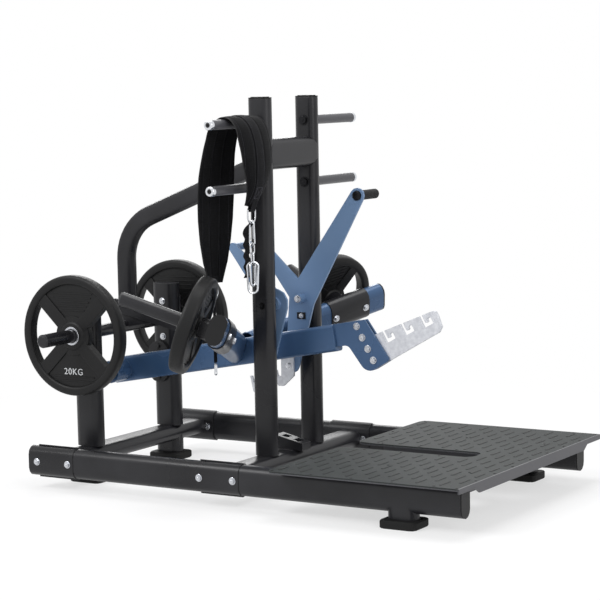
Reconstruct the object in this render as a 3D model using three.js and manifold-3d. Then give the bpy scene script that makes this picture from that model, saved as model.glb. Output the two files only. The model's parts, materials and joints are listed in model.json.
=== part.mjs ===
// Belt squat machine, in millimetres, +Z up, +X towards the platform's front edge.
// The origin is on the floor, under the middle of the machine.
import * as THREE from 'three';
import { mergeVertices } from 'three/addons/utils/BufferGeometryUtils.js';
import Module from 'manifold-3d';

const wasm = await Module();
wasm.setup();

// Clearances
const seatGap = 0.3;
const turnGap = 0.6;
const weldDepth = 1;
const overrun = 6;

// Flat-oval tube: rails, crossbeams, posts and arms share one size, the uprights another
const tubeHeight = 112;
const tubeWidth = 62;
const tubeWall = 3.5;
const uprightDepth = 89;
const uprightWidth = 50;
const uprightWall = 3.5;

// Base frame
const railBottom = 48;
const railSpacing = 930;
const railRearX = -855;
const railFrontX = 928;
const rearFrameX = -740;
const frontFrameX = -21;
const insertLength = 120;
const saddleLength = 177;
const saddleWall = 5;
const saddleBoltSpacing = 140;
const saddleBoltShift = -6;
const boltRadius = 6;
const boltHeadRadius = 10;
const boltHeadHeight = 7;
const capThickness = 5;
const capPlugDepth = 18;

// Feet
const footLength = 140;
const footWidth = 120;
const footHeight = 28;
const footCorner = 18;
const footChamfer = 4;
const frontFootX = 703;

// Buffer for the lowered lever, on the front crossbeam
const bufferRearX = -69;
const bufferLength = 117;
const bufferWidth = 60;
const bufferTop = 188;
const bufferDropAngle = THREE.MathUtils.degToRad(12.7);
const bufferSlotLength = 26;
const bufferSlotWidth = 34;
const bufferSlotDepth = 9;
const bufferSlotShares = [0.28, 0.72];

// Rear posts, their head bracket and the brace
const postSpacing = 520;
const postTop = 700;
const hornZ = 560;
const crossTubeRadius = 23.5;
const headRearX = -777;
const headRearTop = 668;
const headLength = 300;
const headDepth = 50;
const headWidth = 80;
const headDropAngle = THREE.MathUtils.degToRad(12.6);
const headCorner = 8;
const gussetThickness = 8;
const gussetSpacing = 56;
const gussetReach = 190;
const braceDepth = 50;
const braceWidth = 74;
const braceCorner = 20;
const braceWall = 3.5;
const braceBendRadius = 180;
const braceRiseAngle = THREE.MathUtils.degToRad(21.5);
const braceTopRise = 5;

// Uprights and crossbar
const uprightSpacing = 322;
const uprightTop = 1420;
const uprightCapCrown = 5;
const crownInsetShare = 0.33;
const crownWidthShare = 0.7;
const crossbarDrop = 197;

// Storage horns
const storageHornRadius = 17.5;
const storageHornLength = 313;
const storageHornDrops = [310, 83];
const storageTipLength = 16;
const storageTipRadius = 12;
const storageHeadRadius = 15;

// Weight horns and plates
const weightHornRadius = 25;
const weightHornTipChamfer = 6;
const rearHornLength = 249;
const collarRadius = 38;
const rearCollarLength = 22;
const leverHornLength = 350;
const leverCollarLength = 44;
const plateBoreClearance = 1;
const rearPlateRadius = 225;
const rearPlateThickness = 47;
const leverPlateRadius = 178;
const leverPlateThickness = 52;
const rimWidth = 35;
const rimBevel = 9;
const plateWebShare = 0.5;
const plateHubRadius = 62;
const plateHubShare = 0.86;
const openingInnerShare = 0.42;
const openingInnerAngle = THREE.MathUtils.degToRad(14);
const openingOuterAngle = THREE.MathUtils.degToRad(31);

// Platform
const deckThickness = 4;
const matThickness = 4.6;
const platformRearX = 228;
const platformFrontX = 960;
const platformHalfWidth = 574;
const platformCorner = 30;
const slotHalfWidth = 52;
const slotEndX = 748;
const slotEndCorner = 40;
const slotMouthFlare = 10;
const slotMouthLength = 60;
const lipThickness = 5;
const lipEndDepth = 18;
const lipMiddleDepth = 37;
const lipMiddleHalfWidth = 425;
const lipRampLength = 30;
const ribDepth = 36;
const ribThickness = 5;
const ribCount = 4;
const ribFirstX = 330;
const ribInset = 24;

// Lever
const pivotX = -757;
const pivotZ = 391;
const leverRiseAngle = THREE.MathUtils.degToRad(10);
const beamHeight = 98;
const beamWidth = 50;
const beamWall = 4;
const beamCorner = 12;
const beamTail = 45;
const beamReach = 958.6;
const housingRadius = 43;
const housingLength = 220;
const pivotShaftRadius = 15;
const bearingFlangeLength = 165;
const bearingFlangeWidth = 92;
const bearingFlangeThickness = 14;
const bearingBossRadius = 40;
const bearingBossTaperShare = 0.8;
const bearingBoltSpacing = 124;
const armRootX = -232;
const armRootZ = 498;
const armTipX = 43;
const armTipY = 574;
const armTipZ = 642;
const armRollAngle = THREE.MathUtils.degToRad(20.5);
const sleeveCentre = 471;
const sleeveWall = 5;

// Lever head: two side plates that hold the hook comb
const sidePlateThickness = 8;
const sidePlateGap = 10.6;
const headReach = 131;
const headTipReach = 206;
const headTipDrop = 157;
const headToeReach = 105;
const headToeDrop = 195;
const headHeelReach = 46;
const headHeelDrop = 82;
const headTipCorner = 10;
const headToeCorner = 42;
const headHeelCorner = 25;
const combThickness = 10;
const combRiseAngle = THREE.MathUtils.degToRad(19.2);
const combLength = 248;
const combRootDepth = 107.6;
const combTipDepth = 78;
const combTipChamfer = 12;
const combRootStep = 45;
const combTangLength = 40;
const combTangHeight = 186;
const combBoltBack = 60;
const combBoltFirst = 30;
const combBoltPitch = 45.5;
const combHookCount = 3;
const combHookFirst = 17;
const combHookPitch = 81;
const hookSlotDepth = 46;
const hookSlotLength = 40;
const hookEntryWidth = 12;
const hookTipWidth = 13;
const hookTipGap = 13;
const hookPocketHeight = 24;
const hookCorner = 3;

// Catch lever
const catchX = -15;
const catchZ = 683;
const catchShaftRadius = 12;
const catchShaftHeadRadius = 15;
const catchPlateThickness = 9;
const catchPlateOffset = 95;
const catchHubRadius = 54;
const catchEndRadius = 28;
const catchTailRootRadius = 42;
const catchTailEndRadius = 17;
const catchBossRadius = 25;
const catchBossLength = 12;
const catchInnerBossRadius = 18;
const catchInnerBossLength = 30;
const catchHandleX = 226;
const catchHandleZ = 1065;
const catchTailX = -191;
const catchTailZ = 882;
const catchFootX = -62;
const catchFootZ = 430;
const catchTubeRadius = 14;
const catchPivotBoltZ = 618;
const handleRadius = 18;
const handleLength = 132;
const jawThickness = 10;
const jawTop = 505;
const jawBoltShare = 0.33;
const jawBottom = 351;
const jawStemRearX = -104;
const jawStemFrontX = -50;
const jawKneeZ = 392;
const jawTipX = -133;
const jawTipZ = 410;
const jawTipWidth = 8;
const jawThroatZ = 387;
const jawThroatX = -119;
const jawToeX = -112;
const jawBoltX = -72;
const jawCorner = 7;

// Hip belt, hung over the near upper storage horn
const beltThickness = 9;
const beltWidth = 190;
const beltCentreY = -310;
const beltEndShift = 20;
const beltRearDrop = 590;
const beltFrontDrop = 312;
const beltRearSpread = 110;
const beltFrontSpread = 72;
const beltCurl = 9;
const beltChordSlack = 1.8;
const beltShiftShare = 0.33;
const beltEdgeThinShare = 0.55;
const beltStepCount = 38;
const beltColumnCount = 5;
const beltTabThickness = 14;
const beltTabWidth = 34;
const beltTabLength = 26;
const beltRearShares = [
  [1.18, 1], [1.14, 0.86], [1.05, 0.62], [0.98, 0.46], [0.9, 0.3], [0.77, 0.17], [0.59, 0.075], [0.3, 0.02],
];
const beltFrontShares = [
  [0.43, 0.025], [0.75, 0.11], [0.92, 0.24], [0.98, 0.39], [1, 0.58], [0.96, 0.77], [0.8, 0.92], [0.68, 1],
];
const beltWidthShares = [0.5, 0.7, 0.88, 1, 1, 1, 1, 1, 1, 1, 0.97, 0.9, 0.62, 0.4];

// Belt hardware
const ringWireRadius = 3;
const ringWidth = 54;
const ringHeight = 52;
const linkWireRadius = 2.6;
const linkLength = 44;
const linkWidth = 24;
const linkBite = 0.5;
const snapWireRadius = 4;
const snapLength = 92;
const snapWidth = 40;
const snapNarrowShare = 0.7;
const frontLinkCount = 3;
const rearDropWidth = 16;
const rearDropThickness = 3;
const rearDropLength = 232;
const rearSnapLength = 46;
const rearSnapWidth = 18;
const wireSides = 5;
const bowSteps = 6;
const loopSides = 8;

// Facets on round shapes
const arcSteps = 3;
const braceSteps = 12;
const smallSides = 6;
const hexSides = 6;
const rodSides = 16;
const boreSides = 16;
const plateSides = 20;

// Derived places of the frame
const railY = railSpacing / 2;
const railTop = railBottom + tubeHeight;
const crossbarZ = uprightTop - crossbarDrop;
const braceTopZ = crossbarZ + braceTopRise;
const storageHornHeights = storageHornDrops.map((drop) => uprightTop - drop);
const railZ = railBottom + tubeHeight / 2;
const beamTopZ = railZ + tubeWidth / 2;
const beamBottomZ = railZ - tubeWidth / 2;
const saddleReach = railY - tubeWidth / 2 - saddleWall;
const seamRearX = rearFrameX + saddleLength / 2;
const seamFrontX = frontFrameX + saddleLength / 2;
const postY = postSpacing / 2;
const uprightY = uprightSpacing / 2;
const uprightInnerY = uprightY - uprightWidth / 2;
const uprightOuterY = uprightY + uprightWidth / 2;
const postInnerY = postY - tubeWidth / 2;
const postOuterY = postY + tubeWidth / 2;
const crossbarX = frontFrameX + uprightDepth / 2 - tubeWidth / 2;
const deckBottom = railTop + seatGap;
const matBottom = deckBottom + deckThickness + seatGap;
const matTop = matBottom + matThickness;

// Colours
const black = new THREE.MeshStandardMaterial({ color: 0x2b2b2d, roughness: 0.5, metalness: 0.3 });
const plastic = new THREE.MeshStandardMaterial({ color: 0x1d1d1f, roughness: 0.6, metalness: 0 });
const capGrey = new THREE.MeshStandardMaterial({ color: 0x3a3a3e, roughness: 0.6, metalness: 0 });
const rubber = new THREE.MeshStandardMaterial({ color: 0x222223, roughness: 0.8, metalness: 0 });
const matRubber = new THREE.MeshStandardMaterial({ color: 0x5a5c5c, roughness: 0.9, metalness: 0 });
const deckGrey = new THREE.MeshStandardMaterial({ color: 0x6b6a70, roughness: 0.5, metalness: 0.4 });
const blue = new THREE.MeshStandardMaterial({ color: 0x4f6d93, roughness: 0.4, metalness: 0.3 });
const bareMetal = new THREE.MeshStandardMaterial({ color: 0xcfcfd6, roughness: 0.35, metalness: 0.8 });
const chrome = new THREE.MeshStandardMaterial({ color: 0xd8d8dc, roughness: 0.15, metalness: 1 });
const webbing = new THREE.MeshStandardMaterial({ color: 0x161617, roughness: 0.9, metalness: 0 });

const machine = new THREE.Group();

// A closed solid from a geometry, with shared corners merged and its faces turned out
function toSolid(geometry) {
  const bare = geometry.clone();
  bare.deleteAttribute('normal');
  bare.deleteAttribute('uv');
  const merged = mergeVertices(bare);
  const corners = merged.attributes.position;
  const triangles = [];
  const index = merged.index.array;
  const a = new THREE.Vector3();
  const b = new THREE.Vector3();
  const c = new THREE.Vector3();
  let volume = 0;
  for (let i = 0; i < index.length; i += 3) {
    const [p, q, r] = [index[i], index[i + 1], index[i + 2]];
    if (p !== q && q !== r && r !== p) {
      triangles.push(p, q, r);
      a.fromBufferAttribute(corners, p);
      b.fromBufferAttribute(corners, q);
      c.fromBufferAttribute(corners, r);
      volume += a.dot(b.cross(c));
    }
  }
  if (volume < 0) {
    triangles.reverse();
  }
  const vertProperties = new Float32Array(corners.array);
  const triVerts = new Uint32Array(triangles);
  return new wasm.Manifold(new wasm.Mesh({ numProp: 3, vertProperties, triVerts }));
}

function toGeometry(solid) {
  const data = solid.getMesh();
  const geometry = new THREE.BufferGeometry();
  geometry.setAttribute('position', new THREE.BufferAttribute(new Float32Array(data.vertProperties), 3));
  geometry.setIndex(new THREE.BufferAttribute(new Uint32Array(data.triVerts), 1));
  return geometry;
}

function addPiece(name, solid, material) {
  const geometry = toGeometry(solid);
  geometry.computeVertexNormals();
  const mesh = new THREE.Mesh(geometry, material.clone());
  mesh.name = name;
  machine.add(mesh);
}

function joined(...solids) {
  return solids.reduce((sum, solid) => sum.add(solid));
}

function cutBy(solid, ...tools) {
  return tools.reduce((rest, tool) => rest.subtract(tool), solid);
}

function moved(solid, matrix) {
  return toSolid(toGeometry(solid).applyMatrix4(matrix));
}

// The same solid on the other side of the machine's middle plane
function mirrored(solid) {
  return moved(solid, new THREE.Matrix4().makeScale(1, -1, 1));
}

function box(xLow, xHigh, yLow, yHigh, zLow, zHigh) {
  const geometry = new THREE.BoxGeometry(xHigh - xLow, yHigh - yLow, zHigh - zLow);
  geometry.translate((xLow + xHigh) / 2, (yLow + yHigh) / 2, (zLow + zHigh) / 2);
  return toSolid(geometry);
}

function point(x, y, z) {
  return new THREE.Vector3(x, y, z);
}

// A round bar from one point to another, with its own radius at each end
function taperRod(startRadius, endRadius, start, end, sides) {
  const along = end.clone().sub(start);
  const geometry = new THREE.CylinderGeometry(endRadius, startRadius, along.length(), sides);
  const turn = new THREE.Quaternion().setFromUnitVectors(point(0, 1, 0), along.clone().normalize());
  geometry.applyQuaternion(turn);
  const middle = start.clone().add(end).divideScalar(2);
  geometry.translate(middle.x, middle.y, middle.z);
  return toSolid(geometry);
}

function rod(radius, start, end, sides = rodSides) {
  return taperRod(radius, radius, start, end, sides);
}

function rodY(radius, x, z, yStart, yEnd, sides = rodSides) {
  return rod(radius, point(x, yStart, z), point(x, yEnd, z), sides);
}

function extruded(shape, depth, segments = arcSteps) {
  return new THREE.ExtrudeGeometry(shape, { depth, bevelEnabled: false, curveSegments: segments });
}

// An outline in X and Z, given thickness along Y
function plateXZ(shape, yLow, yHigh, segments = arcSteps) {
  const geometry = extruded(shape, yHigh - yLow, segments);
  geometry.rotateX(Math.PI / 2);
  geometry.translate(0, yHigh, 0);
  return toSolid(geometry);
}

// An outline in X and Y, given height along Z
function columnXY(shape, zLow, zHigh, segments = arcSteps) {
  const geometry = extruded(shape, zHigh - zLow, segments);
  geometry.translate(0, 0, zLow);
  return toSolid(geometry);
}

// An outline in Y and Z, given length along X
function barYZ(shape, xLow, xHigh, segments = arcSteps) {
  const geometry = extruded(shape, xHigh - xLow, segments);
  geometry.rotateX(Math.PI / 2);
  geometry.rotateZ(Math.PI / 2);
  geometry.translate(xLow, 0, 0);
  return toSolid(geometry);
}

// A flat-oval outline: two flats joined by half circles, its long side along the first axis
function ovalPath(target, length, width, cx, cy) {
  const radius = width / 2;
  const half = length / 2 - radius;
  target.moveTo(cx - half, cy - radius);
  target.lineTo(cx + half, cy - radius);
  target.absarc(cx + half, cy, radius, -Math.PI / 2, Math.PI / 2, false);
  target.lineTo(cx - half, cy + radius);
  target.absarc(cx - half, cy, radius, Math.PI / 2, Math.PI * 1.5, false);
  return target;
}

function ovalShape(length, width, cx = 0, cy = 0) {
  return ovalPath(new THREE.Shape(), length, width, cx, cy);
}

function ovalTubeShape(length, width, wall, cx = 0, cy = 0) {
  const shape = ovalShape(length, width, cx, cy);
  shape.holes.push(ovalPath(new THREE.Path(), length - 2 * wall, width - 2 * wall, cx, cy));
  return shape;
}

function standingOval(length, width, cx, cy) {
  return turnedShape(ovalShape(length, width), cx, cy);
}

// The outline turned a quarter, so that its long side stands up
function turnedShape(shape, cx, cy) {
  const turn = (p) => new THREE.Vector2(cx - p.y, cy + p.x);
  const result = new THREE.Shape(shape.getPoints(arcSteps).map(turn));
  result.holes = shape.holes.map((hole) => new THREE.Path(hole.getPoints(arcSteps).map(turn)));
  return result;
}

function standingTube(length, width, wall, cx, cy) {
  return turnedShape(ovalTubeShape(length, width, wall), cx, cy);
}

// A closed outline through corners [x, y, radius], each corner rounded by its radius
function roundedShape(corners) {
  const shape = new THREE.Shape();
  corners.forEach(([x, y, radius = 0], i) => {
    const here = new THREE.Vector2(x, y);
    if (radius === 0) {
      if (i === 0) {
        shape.moveTo(x, y);
      } else {
        shape.lineTo(x, y);
      }
      return;
    }
    const last = corners[(i + corners.length - 1) % corners.length];
    const next = corners[(i + 1) % corners.length];
    const back = new THREE.Vector2(last[0], last[1]).sub(here).normalize();
    const ahead = new THREE.Vector2(next[0], next[1]).sub(here).normalize();
    const half = Math.acos(THREE.MathUtils.clamp(back.dot(ahead), -1, 1)) / 2;
    const reach = radius / Math.tan(half);
    const start = here.clone().addScaledVector(back, reach);
    const end = here.clone().addScaledVector(ahead, reach);
    const towards = back.clone().add(ahead).normalize();
    const centre = here.clone().addScaledVector(towards, radius / Math.sin(half));
    const startAngle = Math.atan2(start.y - centre.y, start.x - centre.x);
    const endAngle = Math.atan2(end.y - centre.y, end.x - centre.x);
    if (i > 0) {
      shape.lineTo(start.x, start.y);
    }
    shape.absarc(centre.x, centre.y, radius, startAngle, endAngle, back.cross(ahead) > 0);
  });
  return shape;
}

function rectangle(xLow, xHigh, yLow, yHigh, corner = 0) {
  return roundedShape([
    [xLow, yLow, corner], [xHigh, yLow, corner], [xHigh, yHigh, corner], [xLow, yHigh, corner],
  ]);
}

// An outline around two circles and their outer tangents
function taperShape(x1, y1, r1, x2, y2, r2) {
  const along = Math.atan2(y2 - y1, x2 - x1);
  const lean = Math.acos((r1 - r2) / Math.hypot(x2 - x1, y2 - y1));
  const shape = new THREE.Shape();
  shape.absarc(x1, y1, r1, along + lean, along - lean + 2 * Math.PI, false);
  shape.absarc(x2, y2, r2, along - lean, along + lean, false);
  return shape;
}

// A round wire along a curve, closed at both ends
function wireAlong(curve, radius, steps) {
  const section = new THREE.Shape();
  section.absarc(0, 0, radius, 0, 2 * Math.PI, false);
  const settings = { steps, extrudePath: curve, curveSegments: smallSides / 2, bevelEnabled: false };
  return toSolid(new THREE.ExtrudeGeometry(section, settings));
}

class HalfCircle extends THREE.Curve {
  constructor(centre, across, outward, radius) {
    super();
    Object.assign(this, { centre, across, outward, radius });
  }

  getPoint(share) {
    const angle = Math.PI * share;
    const side = this.across.clone().multiplyScalar(-this.radius * Math.cos(angle));
    const out = this.outward.clone().multiplyScalar(this.radius * Math.sin(angle));
    return this.centre.clone().add(side).add(out);
  }
}

// A loop of wire with two straight sides, hanging down from its top point
function wireLoop(top, length, width, wireRadius, across) {
  const radius = width / 2 - wireRadius;
  const geometry = new THREE.TorusGeometry(radius, wireRadius, wireSides, loopSides);
  geometry.rotateZ(Math.PI / loopSides);
  const corners = geometry.attributes.position;
  for (let i = 0; i < corners.count; i += 1) {
    if (corners.getY(i) < 0) {
      corners.setY(i, corners.getY(i) - length + width);
    }
  }
  const up = point(0, 0, 1);
  const basis = new THREE.Matrix4().makeBasis(across, up, across.clone().cross(up));
  basis.setPosition(top.clone().addScaledVector(up, -width / 2));
  geometry.applyMatrix4(basis);
  return toSolid(geometry);
}

// Base frame

function boltHoles(x, side) {
  return [-1, 1].map((end) => {
    const boltX = x + saddleBoltShift + (end * saddleBoltSpacing) / 2;
    const start = side * (railY + tubeWidth);
    return rodY(boltRadius + seatGap, boltX, railZ, start, side * saddleReach, smallSides);
  });
}

function railSegment(xLow, xHigh, side, hasInsert) {
  const y = side * railY;
  let rail = barYZ(standingTube(tubeHeight, tubeWidth, tubeWall, y, railZ), xLow, xHigh);
  if (hasInsert) {
    const halfWidth = tubeWidth / 2 - tubeWall;
    const welded = insertShape(halfWidth + weldDepth, y);
    const sliding = insertShape(halfWidth - seatGap, y);
    rail = joined(rail, barYZ(welded, xLow, xLow + insertLength / 2));
    rail = joined(rail, barYZ(sliding, xLow - insertLength, xLow + weldDepth));
  }
  return rail;
}

// A box section between a rail's two flat walls
function insertShape(halfWidth, y) {
  const halfHeight = (tubeHeight - tubeWidth) / 2;
  const shape = rectangle(y - halfWidth, y + halfWidth, railZ - halfHeight, railZ + halfHeight);
  const inner = halfWidth - tubeWall;
  const hollow = rectangle(y - inner, y + inner, railZ - halfHeight + tubeWall, railZ + halfHeight - tubeWall);
  shape.holes.push(hollow);
  return shape;
}

function addRails() {
  [-1, 1].forEach((side) => {
    const hand = side < 0 ? 'right' : 'left';
    const holes = [...boltHoles(rearFrameX, side), ...boltHoles(frontFrameX, side)];
    const seams = [railRearX, seamRearX, seamFrontX, railFrontX];
    ['rear', 'middle', 'front'].forEach((place, i) => {
      const start = seams[i] + (i > 0 ? seatGap : 0);
      let rail = railSegment(start, seams[i + 1], side, i > 0);
      rail = cutBy(rail, ...holes);
      if (i === 0) {
        const plate = standingOval(tubeHeight, tubeWidth, side * railY, railZ);
        rail = joined(rail, barYZ(plate, railRearX, railRearX + tubeWall));
      }
      if (i === 2) {
        rail = joined(rail, frontStem(side));
      }
      addPiece(`${place}_rail_${hand}`, rail, black);
    });
    addPiece(`front_rail_cap_${hand}`, frontCap(side), capGrey);
  });
}

function frontStem(side) {
  const y = side * railY;
  const stem = columnXY(ovalShape(tubeHeight, tubeWidth, frontFootX, y), footHeight + seatGap, railZ);
  const railBody = standingOval(tubeHeight - tubeWall, tubeWidth - tubeWall, y, railZ);
  return cutBy(stem, barYZ(railBody, frontFootX - tubeHeight, frontFootX + tubeHeight));
}

function frontCap(side) {
  const y = side * railY;
  const start = railFrontX + seatGap;
  const cover = barYZ(standingOval(tubeHeight, tubeWidth, y, railZ), start, start + capThickness);
  const slack = 2 * (tubeWall + seatGap);
  const plug = standingTube(tubeHeight - slack, tubeWidth - slack, tubeWall, y, railZ);
  return joined(cover, barYZ(plug, start - capPlugDepth, start + weldDepth));
}

function saddle(x, side) {
  const y = side * railY;
  const outer = standingOval(tubeHeight + 2 * saddleWall, tubeWidth + 2 * saddleWall, y, railZ);
  const inner = standingOval(tubeHeight + 2 * seatGap, tubeWidth + 2 * seatGap, y, railZ);
  const low = x - saddleLength / 2;
  const high = x + saddleLength / 2;
  const sleeve = cutBy(barYZ(outer, low, high), barYZ(inner, low - overrun, high + overrun));
  const [near, far] = [side * railY, side * (railY + tubeHeight)].sort((a, b) => a - b);
  const half = cutBy(sleeve, box(low - overrun, high + overrun, near, far, 0, railZ + tubeHeight));
  return joined(half, ...saddleBolts(x, side));
}

function saddleBolts(x, side) {
  return [-1, 1].map((end) => {
    const boltX = x + saddleBoltShift + (end * saddleBoltSpacing) / 2;
    const face = railY + tubeWidth / 2 + seatGap;
    const innerFace = railY - tubeWidth / 2 - saddleWall;
    const shank = rodY(boltRadius, boltX, railZ, side * (face + weldDepth), side * innerFace, smallSides);
    const head = rodY(boltHeadRadius, boltX, railZ, side * face, side * (face + boltHeadHeight), hexSides);
    const nut = rodY(boltHeadRadius, boltX, railZ, side * (innerFace + weldDepth),
      side * (innerFace - boltHeadHeight), hexSides);
    return joined(shank, head, nut);
  });
}

// The tube's bore runs on through both saddles
function crossbeam(x) {
  const reach = saddleReach + weldDepth;
  const tube = plateXZ(ovalShape(tubeHeight, tubeWidth, x, railZ), -reach, reach);
  const bore = ovalShape(tubeHeight - 2 * tubeWall, tubeWidth - 2 * tubeWall, x, railZ);
  return cutBy(joined(tube, saddle(x, -1), saddle(x, 1)), plateXZ(bore, -railY, railY));
}

function rearStem(side) {
  const y = side * postY;
  const stem = columnXY(ovalShape(tubeHeight, tubeWidth, rearFrameX, y), footHeight + seatGap, railZ);
  const bore = ovalShape(tubeHeight - tubeWall, tubeWidth - tubeWall, rearFrameX, railZ);
  return cutBy(stem, plateXZ(bore, y - tubeWidth, y + tubeWidth));
}

function bufferBox() {
  const drop = bufferLength * Math.tan(bufferDropAngle);
  const bottom = beamTopZ - weldDepth;
  const low = bufferRearX;
  const high = bufferRearX + bufferLength;
  const side = roundedShape([[low, bottom], [high, bottom], [high, bufferTop - drop], [low, bufferTop]]);
  const block = plateXZ(side, -bufferWidth / 2, bufferWidth / 2);
  const slots = bufferSlotShares.map((placeShare) => {
    const x = low + bufferLength * placeShare;
    const top = bufferTop - drop * placeShare;
    const half = bufferSlotLength / 2;
    const halfWidth = bufferSlotWidth / 2;
    return box(x - half, x + half, -halfWidth, halfWidth, top - bufferSlotDepth, bufferTop + overrun);
  });
  return cutBy(block, ...slots);
}

function addCrossbeams() {
  addPiece('rear_crossbeam', joined(crossbeam(rearFrameX), rearStem(-1), rearStem(1)), black);
  addPiece('front_crossbeam', joined(crossbeam(frontFrameX), bufferBox()), black);
}

function addFeet() {
  const places = [[frontFootX, railY, 'front'], [rearFrameX, postY, 'rear']];
  places.forEach(([x, y, place]) => {
    [-1, 1].forEach((side) => {
      const half = footLength / 2 - footChamfer;
      const halfWidth = footWidth / 2 - footChamfer;
      const outline = rectangle(x - half, x + half, side * y - halfWidth, side * y + halfWidth, footCorner);
      const depth = footHeight - 2 * footChamfer;
      const geometry = new THREE.ExtrudeGeometry(outline, {
        depth, bevelThickness: footChamfer, bevelSize: footChamfer, bevelSegments: 1, curveSegments: 1,
      });
      geometry.translate(0, 0, footChamfer);
      addPiece(`${place}_foot_${side < 0 ? 'right' : 'left'}`, toSolid(geometry), rubber);
    });
  });
}

// Posts, horns and head bracket at the rear

function addPosts() {
  [-1, 1].forEach((side) => {
    const y = side * postY;
    const shape = ovalTubeShape(tubeHeight, tubeWidth, tubeWall, rearFrameX, y);
    const tube = columnXY(shape, beamTopZ + seatGap, postTop);
    const lid = columnXY(ovalShape(tubeHeight, tubeWidth, rearFrameX, y), postTop - tubeWall, postTop);
    const holes = hornBoltHeights().map((z) => {
      return rodY(boltRadius + seatGap, rearFrameX, z, side * (postY - tubeWidth),
        side * (postY + tubeWidth), smallSides);
    });
    const bearingHoles = [-1, 1].map((end) => {
      const z = pivotZ + (end * bearingBoltSpacing) / 2;
      return rodY(boltRadius + seatGap, pivotX, z, side * (postY - tubeWidth), y, smallSides);
    });
    const post = cutBy(joined(tube, lid), ...holes, ...bearingHoles);
    addPiece(`rear_post_${side < 0 ? 'right' : 'left'}`, post, black);
    addPiece(`pivot_bearing_${side < 0 ? 'right' : 'left'}`, pivotBearing(side), black);
    addPiece(`rear_weight_horn_${side < 0 ? 'right' : 'left'}`, rearHorn(side), black);
  });
}

function hornBoltHeights() {
  return [-1, 1].map((end) => hornZ + (end * saddleBoltSpacing) / 2);
}

function pivotBearing(side) {
  const face = side * (postInnerY - seatGap);
  const flangeEnd = side * (postInnerY - seatGap - bearingFlangeThickness);
  const bossEnd = side * (housingLength / 2 + turnGap);
  const [flangeLow, flangeHigh] = [face, flangeEnd].sort((a, b) => a - b);
  const outline = standingOval(bearingFlangeLength, bearingFlangeWidth, pivotX, pivotZ);
  const boss = taperRod(bearingBossRadius, bearingBossRadius * bearingBossTaperShare, point(pivotX, flangeEnd, pivotZ),
    point(pivotX, bossEnd, pivotZ), rodSides);
  const bolts = [-1, 1].map((end) => {
    const z = pivotZ + (end * bearingBoltSpacing) / 2;
    const shankEnd = side * (postInnerY + tubeWall + overrun);
    const shank = rodY(boltRadius, pivotX, z, flangeEnd, shankEnd, smallSides);
    const headEnd = side * (postInnerY - seatGap - bearingFlangeThickness - boltHeadHeight);
    const headStart = side * (postInnerY - seatGap - bearingFlangeThickness + weldDepth);
    return joined(shank, rodY(boltHeadRadius, pivotX, z, headStart, headEnd, hexSides));
  });
  const body = joined(plateXZ(outline, flangeLow, flangeHigh), boss, ...bolts);
  return cutBy(body, rodY(pivotShaftRadius + turnGap, pivotX, pivotZ, 0, side * postOuterY, boreSides));
}

function weightHorn(start, along, length) {
  const chamfer = weightHornTipChamfer;
  const straightEnd = start.clone().addScaledVector(along, length - chamfer);
  const tip = start.clone().addScaledVector(along, length);
  const bar = rod(weightHornRadius, start, straightEnd);
  return joined(bar, taperRod(weightHornRadius, weightHornRadius - chamfer, straightEnd, tip, rodSides));
}

function rearHorn(side) {
  const y = side * postY;
  const outer = ovalShape(tubeHeight + 2 * saddleWall, tubeWidth + 2 * saddleWall, rearFrameX, y);
  const inner = ovalShape(tubeHeight + 2 * seatGap, tubeWidth + 2 * seatGap, rearFrameX, y);
  const low = hornZ - saddleLength / 2;
  const high = hornZ + saddleLength / 2;
  const sleeve = cutBy(columnXY(outer, low, high), columnXY(inner, low - overrun, high + overrun));
  const [near, far] = [0, y].sort((a, b) => a - b);
  const half = cutBy(sleeve, box(rearFrameX - tubeHeight, rearFrameX + tubeHeight, near, far,
    low - overrun, high + overrun));
  const faceY = postOuterY + saddleWall;
  const root = point(rearFrameX, side * (faceY - weldDepth), hornZ);
  const outward = point(0, side, 0);
  const collarEnd = root.clone().addScaledVector(outward, rearCollarLength + weldDepth);
  const horn = weightHorn(root, outward, rearHornLength - saddleWall + weldDepth);
  const bolts = hornBoltHeights().map((z) => hornBolt(z, side));
  return joined(half, horn, rod(collarRadius, root, collarEnd), ...bolts);
}

function hornBolt(z, side) {
  const outerFace = side * (postOuterY + saddleWall - weldDepth);
  const outerEnd = side * (postOuterY + saddleWall + boltHeadHeight);
  const innerFace = side * (postInnerY - seatGap);
  const innerEnd = side * (postInnerY - seatGap - boltHeadHeight);
  return joined(
    rodY(boltRadius, rearFrameX, z, outerFace, innerFace - side * weldDepth, smallSides),
    rodY(boltHeadRadius, rearFrameX, z, outerFace, outerEnd, hexSides),
    rodY(boltHeadRadius, rearFrameX, z, innerFace, innerEnd, hexSides),
  );
}

// Places along the head member, measured from its rear top corner and down from its top face
function headPoint(along, down) {
  const c = Math.cos(headDropAngle);
  const s = Math.sin(headDropAngle);
  return [headRearX + along * c - down * s, headRearTop - along * s - down * c];
}

function addHeadBracket() {
  const corners = [[0, 0], [0, headDepth], [headLength, headDepth], [headLength, 0]];
  const outline = roundedShape(corners.map(([along, down]) => [...headPoint(along, down), headCorner]));
  const member = plateXZ(outline, -headWidth / 2, headWidth / 2, 2);
  const gussets = [-1, 1].map((side) => {
    const y = (side * gussetSpacing) / 2;
    const shape = roundedShape([
      headPoint(overrun, headDepth - weldDepth),
      [rearFrameX - crossTubeRadius, hornZ],
      [rearFrameX, hornZ - crossTubeRadius / 2],
      [rearFrameX + crossTubeRadius, hornZ],
      headPoint(gussetReach, headDepth - weldDepth),
    ]);
    return plateXZ(shape, y - gussetThickness / 2, y + gussetThickness / 2);
  });
  const reach = postInnerY - seatGap;
  const crossTube = rodY(crossTubeRadius, rearFrameX, hornZ, -reach, reach);
  addPiece('head_bracket', joined(member, crossTube, ...gussets), black);
}

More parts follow.
